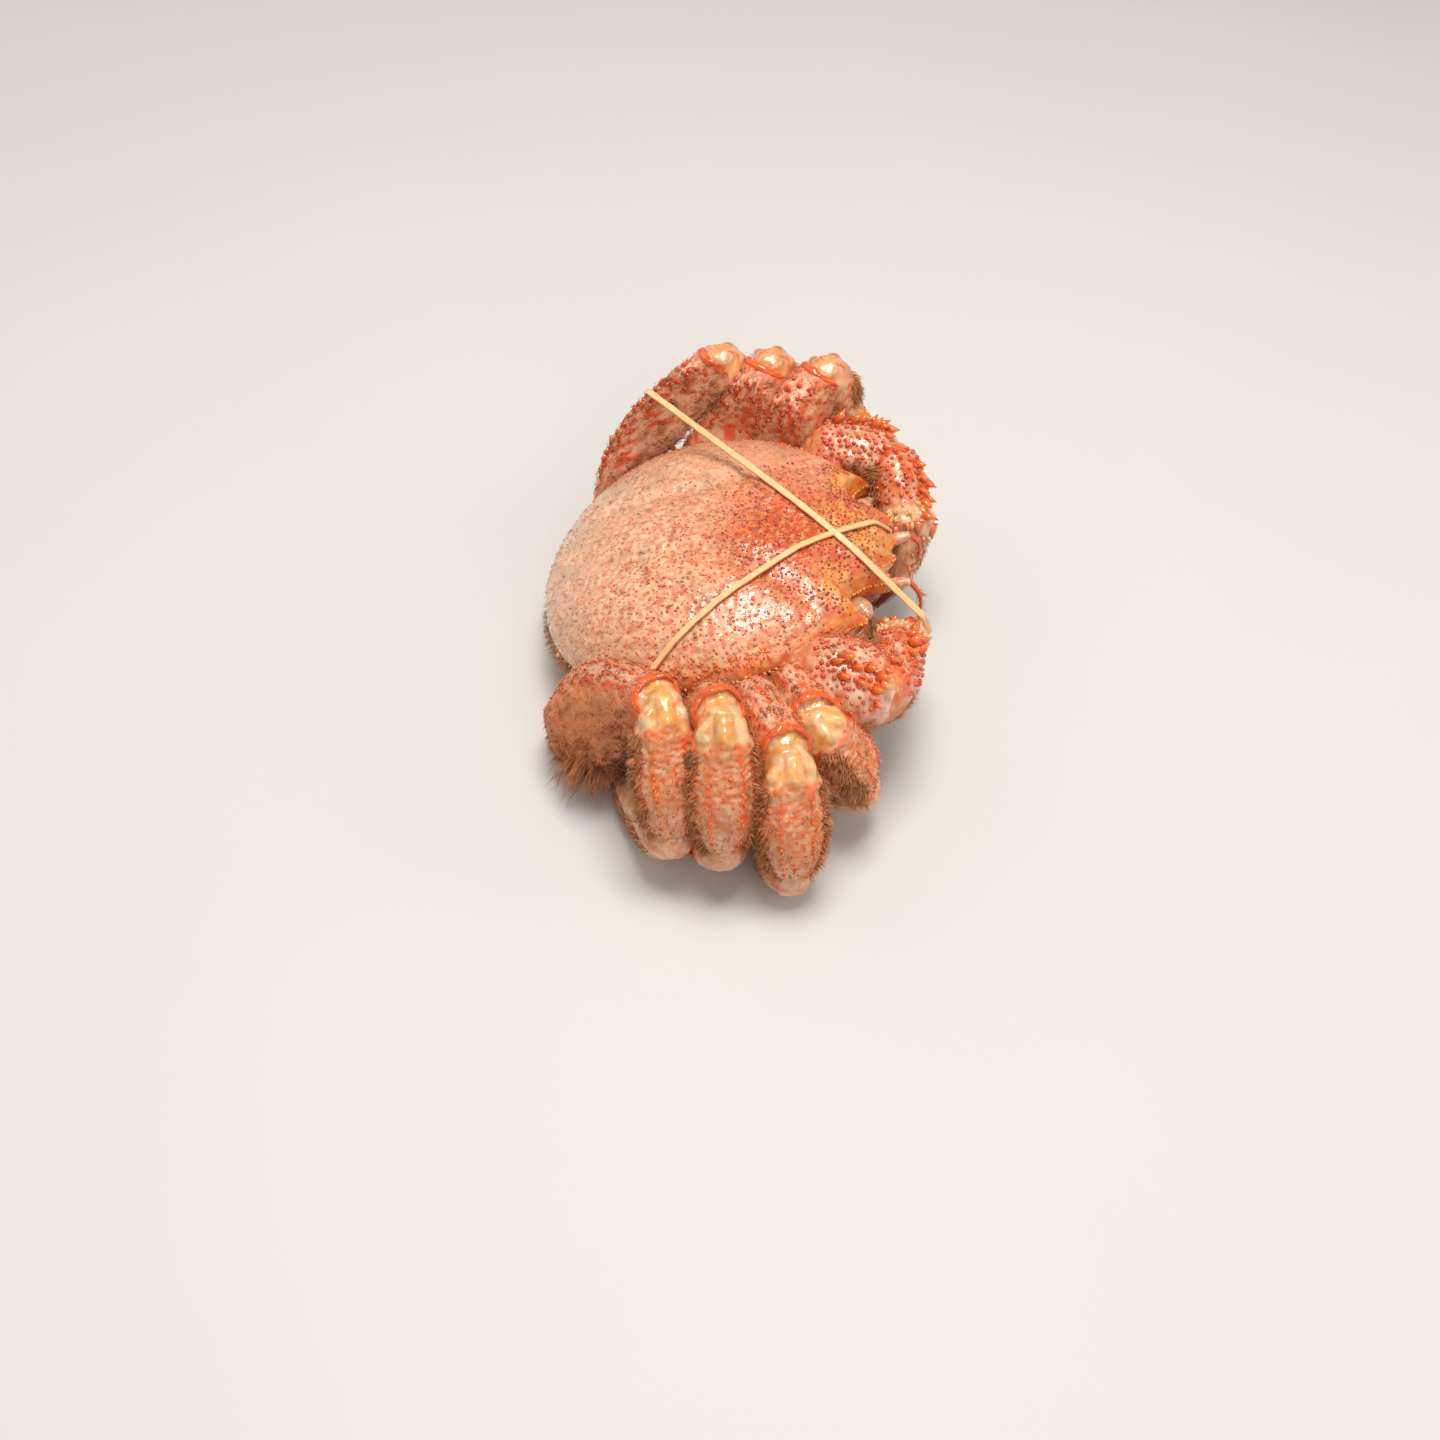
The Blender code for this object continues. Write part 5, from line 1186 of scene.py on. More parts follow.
def lowered(skin):
    """A limb's skin pressed under the edge of the carapace: each section is flattened towards its lowest
    point until it passes under the edge, and outside it stays below a slope that rises from the edge."""
    x, y, z = np.moveaxis(levelled(skin.co), -1, 0)
    edge, share, under = underside_level(x, y)[:3]
    slope = 1.3 if skin.co[..., 0].mean() < 0 else 3.0
    ceiling = np.where(share < 1.0, under, margin_level(y) - 0.0008 + slope * (share - 1.0) * edge)
    lowest = z.min(1, keepdims=True)
    high = np.maximum(z - lowest, 1e-6)
    factor = np.clip(np.where(high > 0.001, (ceiling - lowest) / high, 1.0).min(1), 0.25, 1.0)
    for _ in range(4):
        padded = np.concatenate([factor[:1], factor, factor[-1:]])
        factor = np.minimum(factor, (padded[:-2] + 2 * factor + padded[2:]) / 4)
    co = settle(stacked(x, y, lowest + (z - lowest) * factor[:, None]))
    return Skin(co, skin_normals(co), skin.place, skin.angle)


def clear_of_back(points):
    """True for the points beside, above or well under the carapace, where spines and bristles may stand."""
    x, y, z = levelled(points).T
    share, under, over = underside_level(x, y)[1:]
    return (share > 1.02) | (z < under - 0.0025) | (z > over + 0.0002)


def on_back(x, y):
    """Point and outward direction of the back above a place in plan, by the same dome as the shell, and the
    place's share of the way to the outline."""
    def height(px, py):
        run, edge, oval = crown_distances(px, py)
        scale = limit(run / oval)
        for _ in range(4):
            blend = scale ** BLEND_POWER
            scale = limit(run / (edge * blend + oval * (1.0 - blend)))
        z, share = dome_height(scale) + margin_level(py), py / LENGTH + 0.5
        return z + back_relief(px / LENGTH, share) * ease(1.0, 0.88, scale) + front_lift(scale, share), scale

    z, scale = height(x, y)
    e = 0.0004
    dx = (height(x + e, y)[0] - height(x - e, y)[0]) / (2 * e)
    dy = (height(x, y + e)[0] - height(x, y - e)[0]) / (2 * e)
    return stacked(x, y, z), unit(stacked(-dx, -dy, np.ones_like(dx))), scale


def granule_patch(draw):
    """Granules over the back: scattered on a spiral, thick and red where the back is busy, faint elsewhere,
    with small dark dots crowded on the front plates and over the red patch."""
    tall, wide = sizes().granule_height, sizes().granule_width

    def scatter(count, reach, middle, jitter):
        k = np.arange(count)
        radius = np.sqrt((k + 0.5) / count) * reach
        x = radius * 0.94 * np.cos(k * GOLDEN_ANGLE) + draw.normal(0, jitter, count)
        return x, middle + radius * np.sin(k * GOLDEN_ANGLE) + draw.normal(0, jitter, count)

    x, y = scatter(sizes().granules, 0.5 * LENGTH, CENTRE_Y * 0.8, 0.0007)
    level, normal, scale = on_back(x, y)
    busy = back_busy(x / LENGTH, y / LENGTH + 0.5)
    clump = ripple(level, 0.0065, 67)
    strength = np.clip(0.18 + 0.75 * busy + 0.25 * clump + draw.normal(0, 0.12, len(x)), 0.05, 1.2)
    keep = (scale < 0.992) & (draw.uniform(0, 1, len(x)) < 0.30 + 0.75 * strength) & (y > -0.33 * LENGTH)
    level, normal, strength = level[keep], normal[keep], strength[keep]
    size = (0.55 + 0.50 * strength) * draw.uniform(0.7, 1.35, len(level))
    base = mix("blush", "dot", limit(0.05 + 0.80 * strength))
    ways = unit(normal + np.array((0, -0.35, 0)))
    parts = [studs(settle(level), turned(ways), tall * size, wide * size, base,
                   mix(base, "pale", 0.25), CONE, 6, gloss=1.0)]
    x, y = scatter(2100, 0.30 * LENGTH, -0.36 * LENGTH, 0.0003)
    level, normal, scale = on_back(x, y)
    share = y / LENGTH + 0.5
    plates = ease(0.22, 0.16, share)
    crowd = np.maximum(plates, red_patch(x / LENGTH, share)) * 0.9
    keep = (scale < 0.985) & (draw.uniform(0, 1, len(x)) < crowd)
    level, normal, plates = level[keep], normal[keep], plates[keep]
    size = draw.uniform(0.6, 1.15, len(level))
    base = mix(colour("dot") * 0.62, colour("shade") * (1.5, 1.1, 0.8), 0.72 * plates)
    parts.append(studs(settle(level), turned(normal), 0.00028 * size, 0.00062 * size, base, base, CONE, 5,
                       gloss=0.8))
    return joined(parts)


def margin_walk(shares, sign):
    """Points on the margin and the outward direction there, by share of one side's length."""
    half = np.array(OUTLINE) * LENGTH * (sign, 1) - np.array((0.0, 0.5 * LENGTH))
    run = run_along(half)
    at = shares * run[-1]
    point = points_at(half, run, at)
    ahead = unit(points_at(half, run, at + 0.001) - point)
    out = stacked(ahead[:, 1] * sign, -ahead[:, 0] * sign, np.zeros(len(at)))
    return np.concatenate([point, margin_level(point[:, 1])[:, None]], -1), out


def tooth_patch(draw):
    """Teeth of the margin: nine larger ones on each side and many small ones between, pointing out and
    forward, orange to cream, with a row of low granules along the front edge and more above the teeth."""
    parts = []
    for sign in SIDES.values():
        big = 0.33 + 0.51 * np.arange(9) / 8
        small = 0.29 + 0.66 * (np.arange(64) + draw.uniform(0, 0.7, 64)) / 64
        for shares, length, width in ((big, 0.0034, 0.0015), (small, 0.0012, 0.0007)):
            count = len(shares)
            point, out = margin_walk(shares, sign)
            ways = turned(unit(out + np.array((0, -0.45, 0.25)) + draw.normal(0, 0.12, (count, 3))))
            taper = (1.0 - 0.45 * (shares - 0.3) / 0.6) * draw.uniform(0.75, 1.2, count)
            root = mix("spine", "rim", draw.uniform(0, 1, count) * ease(0.75, 0.5, shares))
            tip = mix("yolk", "cream", draw.uniform(0.2, 1, count))
            parts.append(studs(settle(point), ways, length * taper, width * (0.6 + 0.4 * taper), root, tip,
                               CONE, 7, gloss=0.8, sink=0.001))
        count = 58
        point, out = margin_walk(0.30 * (np.arange(count) + draw.uniform(0, 0.6, count)) / count, sign)
        size = draw.uniform(0.7, 1.4, count)
        roots = settle(point - out * 0.0003 + np.array((0, 0, 0.0003)))
        tip = mix("spine", "yolk", size - 0.5)
        parts.append(studs(roots, turned(unit(out + (0, -0.2, 0.5))), 0.0009 * size, 0.00055 * size,
                           "rim", tip, BEAD, 6, gloss=0.9))
        count = 150
        point, out = margin_walk(0.29 + 0.45 * draw.uniform(0, 1, count), sign)
        point = point - out * draw.uniform(0.0006, 0.0034, count)[:, None]
        level, normal = on_back(point[:, 0], point[:, 1])[:2]
        size = draw.uniform(0.6, 1.2, count)
        parts.append(studs(settle(level), turned(normal), 0.0006 * size, 0.00050 * size, "rim",
                           "spine", BEAD, 6, gloss=0.9))
    return joined(parts)


def thorax_patches():
    """Skins of the limbs' stubs, and patches of the sternum and flanks: a flat-bottomed tube with a furrow
    between the plates of each leg pair and one along the middle, darkened towards its front with painted
    shade, a rounded stub for every limb, and a dark bowl of painted shade in the hollow round each eye."""
    rows = np.array(THORAX_ROWS)
    places = np.linspace(rows[0, 0], rows[-1, 0], 90)
    top, bottom, half = smooth_rows(rows, places).T[..., None]
    places = places[:, None]
    c, s = squared(ring_angles(88), 2 / 3.2)
    furrows = sum(bell(places - y, 0.0011) for y in FURROWS)
    sink = 0.0009 * furrows * ease(0.2, -0.4, c) + 0.0010 * bell(s, 0.08) * (c < 0)
    height = (top + bottom) / 2 + ((top - bottom) / 2 - sink) * c
    level = stacked((half - sink) * s, places, height)
    tint = mix("under", "blush", limit(0.25 + 0.3 * ripple(level, 0.006, 71) + 0.35 * furrows))
    # Painted shade: the sternum turns dark towards its front, in the hollow before the mouth
    tint = mix(tint, "shade", 0.92 * ease(-0.028, -0.038, level[..., 1]))
    patches = [tube_patch(settle(level), tint, 0.55)]
    stubs = []
    for side in SIDES:
        ends = [leg_points(side, pair)[:2] for pair in LEG_BASES]
        base, elbow = claw_points(side)[:2]
        ends.append((base, base + unit(elbow - base) * 0.0005))
        for start, end in ends:
            way = unit(end - start)
            segment = Segment(start - way * 0.006, end + way * 0.003, (0, 0, 1), STUB_ROWS,
                              (STUB_HALF, STUB_HALF))
            skin = tucked(lowered(segment_skin(segment, 30, 40)))
            tint = mix("velvet", "pale", limit(0.4 + 0.4 * ripple(skin.co, 0.004, 72)))
            tint = mix(tint, "rim", 0.7 * ease(0.75, 0.9, skin.place)[:, None])
            patches.append(tube_patch(skin.co, tint, 0.4))
            stubs.append(skin)
        wall = np.linspace(-math.pi / 2, math.pi / 2, 26)[1:-1, None]
        ring = ring_angles(36)
        middle, radii = np.array(ORBIT[0]) * (SIDES[side], 1, 1), np.array(ORBIT[1])
        ball = stacked(np.cos(wall) * np.cos(ring), np.cos(wall) * np.sin(ring),
                       np.sin(wall))
        ball = settle(middle + ball * radii * (1 + 0.05 * ripple(ball, 0.5, 74)[..., None]))
        # Painted shade: the bowl is dark as the hollow round the eye, flecked with red
        tint = mix("shade", "dot", limit(0.25 + 0.3 * ripple(ball, 0.003, 75)))
        patches.append(tube_patch(ball, tint, 0.5, 0.0))
    return stubs, patches


def flap_patches():
    """Abdomen: a flat strap that folds from the rear edge forward under the body, stepped at each joint."""
    rows = np.array([(k, *row) for k, row in enumerate(FLAP_PATH)], float)
    places = np.linspace(0, len(FLAP_PATH) - 1, 130)
    y, z, width = smooth_rows(rows, places).T
    path = settle(stacked(0 * y, y, z))
    ahead = unit(np.gradient(path, axis=0))
    up = unit(np.cross(np.array((1.0, 0, 0)), ahead))
    c, s = squared(ring_angles(44), 2 / 3.5)
    joint = sum(bell(places - k, 0.28) for k in (4.5, 6.5, 8.5, 10.5))[:, None]
    thick = FLAP_THICKNESS / 2 * (1.0 - 0.35 * joint)
    across = s * (FLAP_HALF_WIDTH * width)[:, None]
    co = path[:, None] + up[:, None] * (c * thick)[..., None] + np.array((1.0, 0, 0)) * across[..., None]
    tint = mix("under", "spine", limit(0.15 + 0.5 * joint + 0.2 * ripple(co, 0.004, 73)))
    return [tube_patch(co, tint, 0.5)]


class CRAB_OT_underside(bpy.types.Operator):
    """Build the thorax with the stubs of the limbs, and the folded abdomen."""
    bl_idname = "crab.underside"
    bl_label = "Underside"

    def execute(self, context):
        material = shell_material("boiled_underside", 0.0030)
        make_piece("thorax_shell", thorax_patches()[1], material, ("thorax",))
        make_piece("abdomen_shell", flap_patches(), material, ("abdomen",))
        return {"FINISHED"}


# Face

def face_segment(side, root, tip, up, rows, half):
    start, end = (settle(np.array(point) * (SIDES[side], 1, 1)) for point in (root, tip))
    return Segment(start, end, up, rows, half)


FEELER_ROWS = ((0, 1, 1, 0), (0.5, 0.85, 0.85, 0), (0.55, 0.7, 0.7, 0), (0.6, 0.8, 0.8, 0),
               (1, 0.55, 0.55, 0))
EYE_ROWS = ((0.0, 0.62, 0.62, 0), (0.22, 0.66, 0.66, 0), (0.45, 0.90, 0.90, 0), (0.75, 1.10, 1.10, 0),
            (1.0, 0.95, 0.95, 0), (1.12, 0.60, 0.60, 0))


class CRAB_OT_face(bpy.types.Operator):
    """Build the eyes on their stalks, the feelers with their side hairs and the plates of the mouth."""
    bl_idname = "crab.face"
    bl_label = "Face"

    def execute(self, context):
        for side in SIDES:
            root, tip, half = EYE
            stalk = face_segment(side, root, tip, (0, 0, 1), EYE_ROWS, (half, half))
            skin = segment_skin(stalk, 40, 40, 2.0, 0.9)
            u = skin.place[:, None]
            # Painted shade at the stalk's foot, down in the eye's hollow
            tint = mix("shade", "eye", ease(0.25, 0.50, u))
            tint = mix(tint, "cream", 0.3 * ease(0.6, 0.9, u) + 0.1 * ripple(skin.co, 0.002, 81))
            make_piece("eye_%s_stalk" % side, [tube_patch(skin.co, tint, 0.35 + 0.6 * ease(0.5, 0.7, u))],
                       shell_material("eye_film", 0.0010, 0.04), ("eye_" + side,))
            make_piece("antenna_%s_feeler" % side, feeler_patches(side),
                       shell_material("boiled_feelers", 0.0016), ("antenna_" + side,))
            root, tip, half = MOUTH_PLATE
            skin = segment_skin(face_segment(side, root, tip, (0, -0.5, -1), MOUTH_ROWS, half), 48, 40)
            u = skin.place[:, None]
            tint = mix("blush", "pale", limit(0.4 + 0.5 * ripple(skin.co, 0.004, 82)))
            # Painted shade in the plate's groove and at its front end
            tint = mix(tint, "shade", 0.7 * bell(u - 0.53, 0.03) + 0.5 * ease(0.85, 1.0, u))
            make_piece("maxilliped_%s_plate" % side, [tube_patch(skin.co, tint, 0.5)],
                       shell_material("boiled_mouth", 0.0022), ("maxilliped_" + side,))
        return {"FINISHED"}


def feeler_patches(side):
    """Feeler: a thick jointed base, then a whip of many short rings that bends down and tapers, with fine
    hairs along both its sides."""
    root, bend, reach, half = FEELER
    s = SIDES[side]
    base = segment_skin(face_segment(side, root, bend, (0, 0, 1), FEELER_ROWS, (half, half)), 40, 24)
    tint = mix("blush", "pale", limit(0.5 + 0.5 * ripple(base.co, 0.003, 83)))
    start = settle((s * bend[0], bend[1], bend[2]))
    t = np.linspace(0.0, 1.0, 90)
    way = np.array((s * reach[0], reach[1], reach[2]))
    path = start + way * t[:, None] + np.array((0, -0.0018, 0.0022)) * np.sin(t * math.pi)[:, None]
    ahead = unit(np.gradient(path, axis=0))
    side_way = unit(np.cross(ahead, np.array((1.0, 0.2, 0.3))))
    other = np.cross(ahead, side_way)
    ring = ring_angles(14)[:, None]
    radius = 0.00085 * (1 - 0.70 * t) * (1 + 0.10 * np.cos(t * TURN * 26))
    round_way = side_way[:, None] * np.cos(ring) + other[:, None] * np.sin(ring)
    co = path[:, None] + round_way * radius[:, None, None]
    whip = mix("rim", "spine", 0.5 * t[:, None])
    draw = np.random.default_rng(90 + int(s))
    count = 46
    k = draw.integers(8, 88, count)
    sign = np.where(np.arange(count) % 2, 1.0, -1.0)[:, None]
    ways = unit(side_way[k] * sign * 0.7 + ahead[k] * 0.9)
    hairs = studs(path[k], ways, draw.uniform(0.0016, 0.0038, count), 0.00011, "bristle_root",
                  "bristle_tip", BRISTLE, 3, gloss=0.5)
    return [tube_patch(base.co, tint, 0.6), tube_patch(co, whip, 0.8), hairs]


# Bristles over the limbs and the body

class CRAB_OT_bristles(bpy.types.Operator):
    """Grow the tufts of bristles over the legs, the claws and the edge of the body."""
    bl_idname = "crab.bristles"
    bl_label = "Bristles"

    def execute(self, context):
        material = bristle_material()
        for side in SIDES:
            for pair in (2, 3, 4, 5):
                draw = np.random.default_rng(2000 + pair * 10 + int(SIDES[side]))
                patches = []
                for strip, (kind, segment) in enumerate(leg_segments(side, pair).items()):
                    skin, shell = leg_patches(segment, kind, side, pair)
                    rules = LEG_TUFTS[kind]
                    if pair == 5 and kind == "merus" and side == "right":
                        rules = rules + LOBE_TUFTS
                    patches += [limb_tufts(skin, shell[0], rule, strip, 4, draw) for rule in rules]
                make_piece("leg%d_%s_bristles" % (pair, side), patches, material, ())
            draw = np.random.default_rng(2100 + int(SIDES[side]))
            patches = []
            flip = -SIDES[side]
            for strip, (kind, (skin, shell)) in enumerate(claw_patches(side).items()):
                for rule in CLAW_TUFTS[kind]:
                    rule = rule[:3] + (rule[3] * flip,) + rule[4:]
                    patches.append(limb_tufts(skin, shell[0], rule, strip, 5, draw))
            make_piece("claw_%s_bristles" % side, patches, material, ())
        make_piece("body_bristles", body_tufts(), material, ())
        return {"FINISHED"}


def body_tufts():
    """Short bristles over the back, a fringe under its margin, and tufts on the stubs of the limbs."""
    draw = np.random.default_rng(2200)
    patches = []
    count = 2300
    k = np.arange(count)
    radius = np.sqrt((k + 0.5) / count) * 0.5 * LENGTH
    x = radius * 0.93 * np.cos(k * 2.1 + 0.3) + draw.normal(0, 0.001, count)
    y = CENTRE_Y + radius * 0.97 * np.sin(k * 2.1 + 0.3) + draw.normal(0, 0.001, count)
    level, normal, scale = on_back(x, y)
    keep = (scale < 0.985) & (draw.uniform(0, 1, count) < 0.35 + 0.65 * ease(0.80, 0.96, scale))
    level, normal = level[keep], normal[keep]
    lies = unit(np.array((0, 0.9, 0.0)) + unit(level * (1, 1, 0) - (0, CENTRE_Y, 0)) * 0.6)
    lies = unit(lies - normal * (lies * normal).sum(-1, keepdims=True))
    uv = 0.02 + 0.46 * (level[:, :2] / LENGTH + 0.5)
    lengths = draw.uniform(0.0007, 0.0012, len(level))
    patches.append(tufts(settle(level), turned(normal), turned(lies), lengths, uv, 0.42, draw, 3, 0.0004,
                         0.0, 0.75))
    for sign in SIDES.values():
        for depth, length, number in ((0.0006, 0.0019, 300), (0.0016, 0.0026, 260)):
            shares = draw.uniform(0.28, 0.985, number)
            point, out = margin_walk(shares, sign)
            point = point - out * depth * 0.3 - np.array((0, 0, depth))
            lies = unit(out + np.array((0, 0.15, -0.35)))
            normal = unit(out * 0.6 + np.array((0, 0, 0.6)))
            uv = stacked(0.52 + 0.46 * shares, np.full(number, 0.3 + 0.1 * sign))
            lengths = length * draw.uniform(0.7, 1.2, number)
            patches.append(tufts(settle(point), turned(normal), turned(lies), lengths, uv, 0.35, draw, 4,
                                 0.0006, 0.1))
    count = 110
    for k, skin in enumerate(thorax_patches()[0]):
        places, angles = draw.uniform(0.1, 0.95, count), draw.uniform(-math.pi, math.pi, count)
        roots, normals, along = spots(skin, places, angles)[:3]
        uv = stacked(0.52 + 0.46 * places, 0.5 + 0.045 * (k + 0.9 * (angles / TURN + 0.5)))
        patches.append(tufts(roots, normals, along, draw.uniform(0.0014, 0.0026, count), uv, 0.4, draw, 4))
    return patches


# Bands

def band_patch(key):
    """Taut loop of rubber: the hull, in the band's plane, of every point of the pieces that it holds, with a
    flat rounded section carried along it."""
    a, b, c = (np.array(p) for p in BAND_POINTS[key])
    normal = unit(np.cross(b - a, c - a))
    across = unit(b - a)
    rise = np.cross(normal, across)
    width, thickness = sizes().band_width, sizes().band_thickness
    flat = []
    for piece in bpy.context.scene.objects:
        if "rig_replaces" not in piece or not piece.name.startswith(BAND_HOLDS[key]):
            continue
        co = np.empty(len(piece.data.vertices) * 3, np.float32)
        piece.data.vertices.foreach_get("co", co)
        co = co.reshape(-1, 3) - PLACE
        co = co[np.abs((co - a) @ normal) < width * 0.55]
        co[:, 2] = np.maximum(co[:, 2], FLOOR_LEVEL + BAND_FLOOR)
        flat.append(stacked((co - a) @ across, (co - a) @ rise))
    flat = np.concatenate(flat)
    hull = flat[convex_hull_2d([Vector(p) for p in flat])]
    hull = np.concatenate([hull, hull[:1]])
    run = run_along(hull)
    at = np.arange(0, run[-1], BAND_STEP)
    loop = points_at(hull, run, at)
    ahead = unit(np.roll(loop, -2, 0) - np.roll(loop, 2, 0))
    out = stacked(ahead[:, 1], -ahead[:, 0])
    out = out if ((loop - loop.mean(0)) * out).sum() > 0 else -out
    c, s = squared(ring_angles(20), 0.45)
    wave = 1 + 0.05 * np.sin(at * 900.0)
    middle = a + across * loop[:, :1] + rise * loop[:, 1:]
    out3 = across * out[:, :1] + rise * out[:, 1:]
    lift = thickness * (0.52 if key == "a" else 0.50)
    co = middle[:, None] + out3[:, None] * (lift + c[None] * thickness / 2 * 0.9)[..., None] + normal * (
        s[None] * (wave * width / 2)[:, None])[..., None]
    cloud = 0.12 + 0.12 * ripple(co, 0.02, 91) + 0.10 * s[None] ** 8
    tint = mix("band", "yolk", limit(cloud))
    return tube_patch(co, tint, 0.5, closed=True)


class CRAB_OT_bands(bpy.types.Operator):
    """Stretch the two rubber bands round the finished crab."""
    bl_idname = "crab.bands"
    bl_label = "Rubber bands"

    def execute(self, context):
        material = band_material()
        for key in BAND_POINTS:
            name = "rubber_band_" + key
            make_piece(name + "_loop", [band_patch(key)], material, (name,))
        return {"FINISHED"}


# Materials

def connect(tree, node, sockets):
    """Link a node's sockets, by name or number, to other nodes' outputs, or set them to values."""
    for name, value in sockets.items():
        socket = node.inputs[name]
        if isinstance(value, bpy.types.NodeSocket):
            tree.links.new(value, socket)
        else:
            socket.default_value = (*value, 1.0) if isinstance(value, (tuple, np.ndarray)) else value


def add_node(tree, kind, x, y, sockets=None, **settings):
    """A node at a place of the editor, with its settings and its sockets."""
    node = tree.nodes.new(kind)
    node.location = (x, y)
    for name, value in settings.items():
        setattr(node, name, value)
    connect(tree, node, sockets or {})
    return node


def math_node(tree, operation, first, second, x, y, clamp=False):
    node = add_node(tree, "ShaderNodeMath", x, y, {0: first, 1: second}, operation=operation, use_clamp=clamp)
    return node.outputs[0]


def math_chain(tree, value, x, y, *steps):
    """A value put through steps of operation, second value and, where its result is held to 0 to 1, True."""
    for operation, second, *clamp in steps:
        value = math_node(tree, operation, value, second, x, y, bool(clamp))
        x += 150
    return value


def mix_node(tree, share, first, second, x, y):
    return add_node(tree, "ShaderNodeMix", x, y, {0: share, 6: first, 7: second}, data_type="RGBA",
                    blend_type="MIX", clamp_factor=True).outputs[2]


def noise_node(tree, scale, detail, x, y):
    """Noise over the object's own coordinates."""
    place = add_node(tree, "ShaderNodeTexCoord", x - 200, y).outputs["Object"]
    return add_node(tree, "ShaderNodeTexNoise", x, y,
                    {"Vector": place, "Scale": scale, "Detail": detail}).outputs["Fac"]


def shaded(tree, tint, noise, darkest, lightest, x, y):
    """A colour made darker and lighter by noise."""
    ramp = add_node(tree, "ShaderNodeMapRange", x, y - 200, {
        "Value": noise, "From Min": 0.3, "From Max": 0.7, "To Min": darkest, "To Max": lightest})
    return add_node(tree, "ShaderNodeVectorMath", x + 200, y, {0: tint, "Scale": ramp.outputs["Result"]},
                    operation="SCALE").outputs[0]


def bump_node(tree, height, strength, distance):
    return add_node(tree, "ShaderNodeBump", -250, -200, {
        "Strength": strength, "Distance": distance, "Height": height}).outputs["Normal"]


def attribute(tree, name, output, y):
    """A value that the piece keeps at each of its points."""
    return add_node(tree, "ShaderNodeAttribute", -800, y, attribute_name=name).outputs[output]


def mottle_group():
    """Mottled shell: cloudy light and dark over a tint, small dots of a second colour and fine grit. The
    film is the wetness of glossy places, broken into small drops by the grit."""
    name = "mottled_shell"
    if name in bpy.data.node_groups:
        return bpy.data.node_groups[name]
    tree = bpy.data.node_groups.new(name, "ShaderNodeTree")
    for label, value in (("Tint", (0.8, 0.5, 0.3, 1)), ("Dot colour", (0.6, 0.1, 0.03, 1)),
                         ("Dot size", 0.002), ("Dot amount", 0.5), ("Gloss", 0.5)):
        kind = "NodeSocketFloat" if isinstance(value, float) else "NodeSocketColor"
        tree.interface.new_socket(label, in_out="INPUT", socket_type=kind).default_value = value
    for label in ("Color", "Height", "Roughness", "Film"):
        kind = "NodeSocketColor" if label == "Color" else "NodeSocketFloat"
        tree.interface.new_socket(label, in_out="OUTPUT", socket_type=kind)
    given = add_node(tree, "NodeGroupInput", -900, 0).outputs
    place = add_node(tree, "ShaderNodeTexCoord", -900, -300).outputs["Object"]
    scale = math_node(tree, "DIVIDE", 1.0, given["Dot size"], -700, -100)
    cells = add_node(tree, "ShaderNodeTexVoronoi", -500, 0, {"Vector": place, "Scale": scale}, feature="F1")
    cloud = noise_node(tree, 160.0, 6.0, -500, -300)
    grit = noise_node(tree, 1500.0, 3.0, -500, -600)
    near = math_node(tree, "SUBTRACT", 0.62, cells.outputs["Distance"], -300, 0)
    ragged = math_node(tree, "SUBTRACT", cloud, 0.62, -300, -150)
    dot = math_chain(tree, near, -150, 0, ("ADD", ragged), ("MULTIPLY", 5.0, True),
                     ("MULTIPLY", given["Dot amount"], True))
    shade = shaded(tree, given["Tint"], cloud, 0.80, 1.14, 0, -100)
    rough = math_chain(tree, cloud, 300, -750, ("SUBTRACT", 0.5), ("MULTIPLY", 0.45))
    drops = math_chain(tree, grit, 300, -1050, ("SUBTRACT", 0.48), ("MULTIPLY", 14.0, True))
    pits = math_node(tree, "MULTIPLY", grit, 0.5, 300, -450)
    add_node(tree, "NodeGroupOutput", 900, 0, {
        "Color": mix_node(tree, dot, shade, given["Dot colour"], 420, 0),
        "Height": math_chain(tree, dot, 400, -250, ("MULTIPLY", 0.6), ("ADD", pits)),
        "Roughness": math_chain(tree, given["Gloss"], 300, -600, ("MULTIPLY", -0.80), ("ADD", 0.80),
                                ("ADD", rough, True)),
        "Film": math_chain(tree, given["Gloss"], 300, -900, ("SUBTRACT", 0.28), ("MULTIPLY", 3.0, True),
                           ("MULTIPLY", drops))})
    return tree


def new_material(name):
    """A material with its own nodes, its node tree and its shader."""
    material = bpy.data.materials.new(name)
    material.use_nodes = True
    return material, material.node_tree, material.node_tree.nodes["Principled BSDF"]


def shell_material(name, dot_size, coat_roughness=0.06):
    """Boiled shell: the piece's own tint and gloss under the mottled group, with a wet film."""
    if name in bpy.data.materials:
        return bpy.data.materials[name]
    material, tree, shader = new_material(name)
    group = add_node(tree, "ShaderNodeGroup", -500, 100, node_tree=mottle_group())
    connect(tree, group, {"Dot size": dot_size, "Dot colour": colour("dot"),
                          "Tint": attribute(tree, "shell_tint", "Color", 200),
                          "Gloss": attribute(tree, "shell_gloss", "Fac", 0),
                          "Dot amount": attribute(tree, "shell_dots", "Fac", -200)})
    made = group.outputs
    connect(tree, shader, {"Base Color": made["Color"], "Roughness": made["Roughness"],
                           "Normal": bump_node(tree, made["Height"], 0.6, 0.0003),
                           "Coat Weight": made["Film"], "Coat Roughness": coat_roughness,
                           "Specular IOR Level": 0.65})
    return material


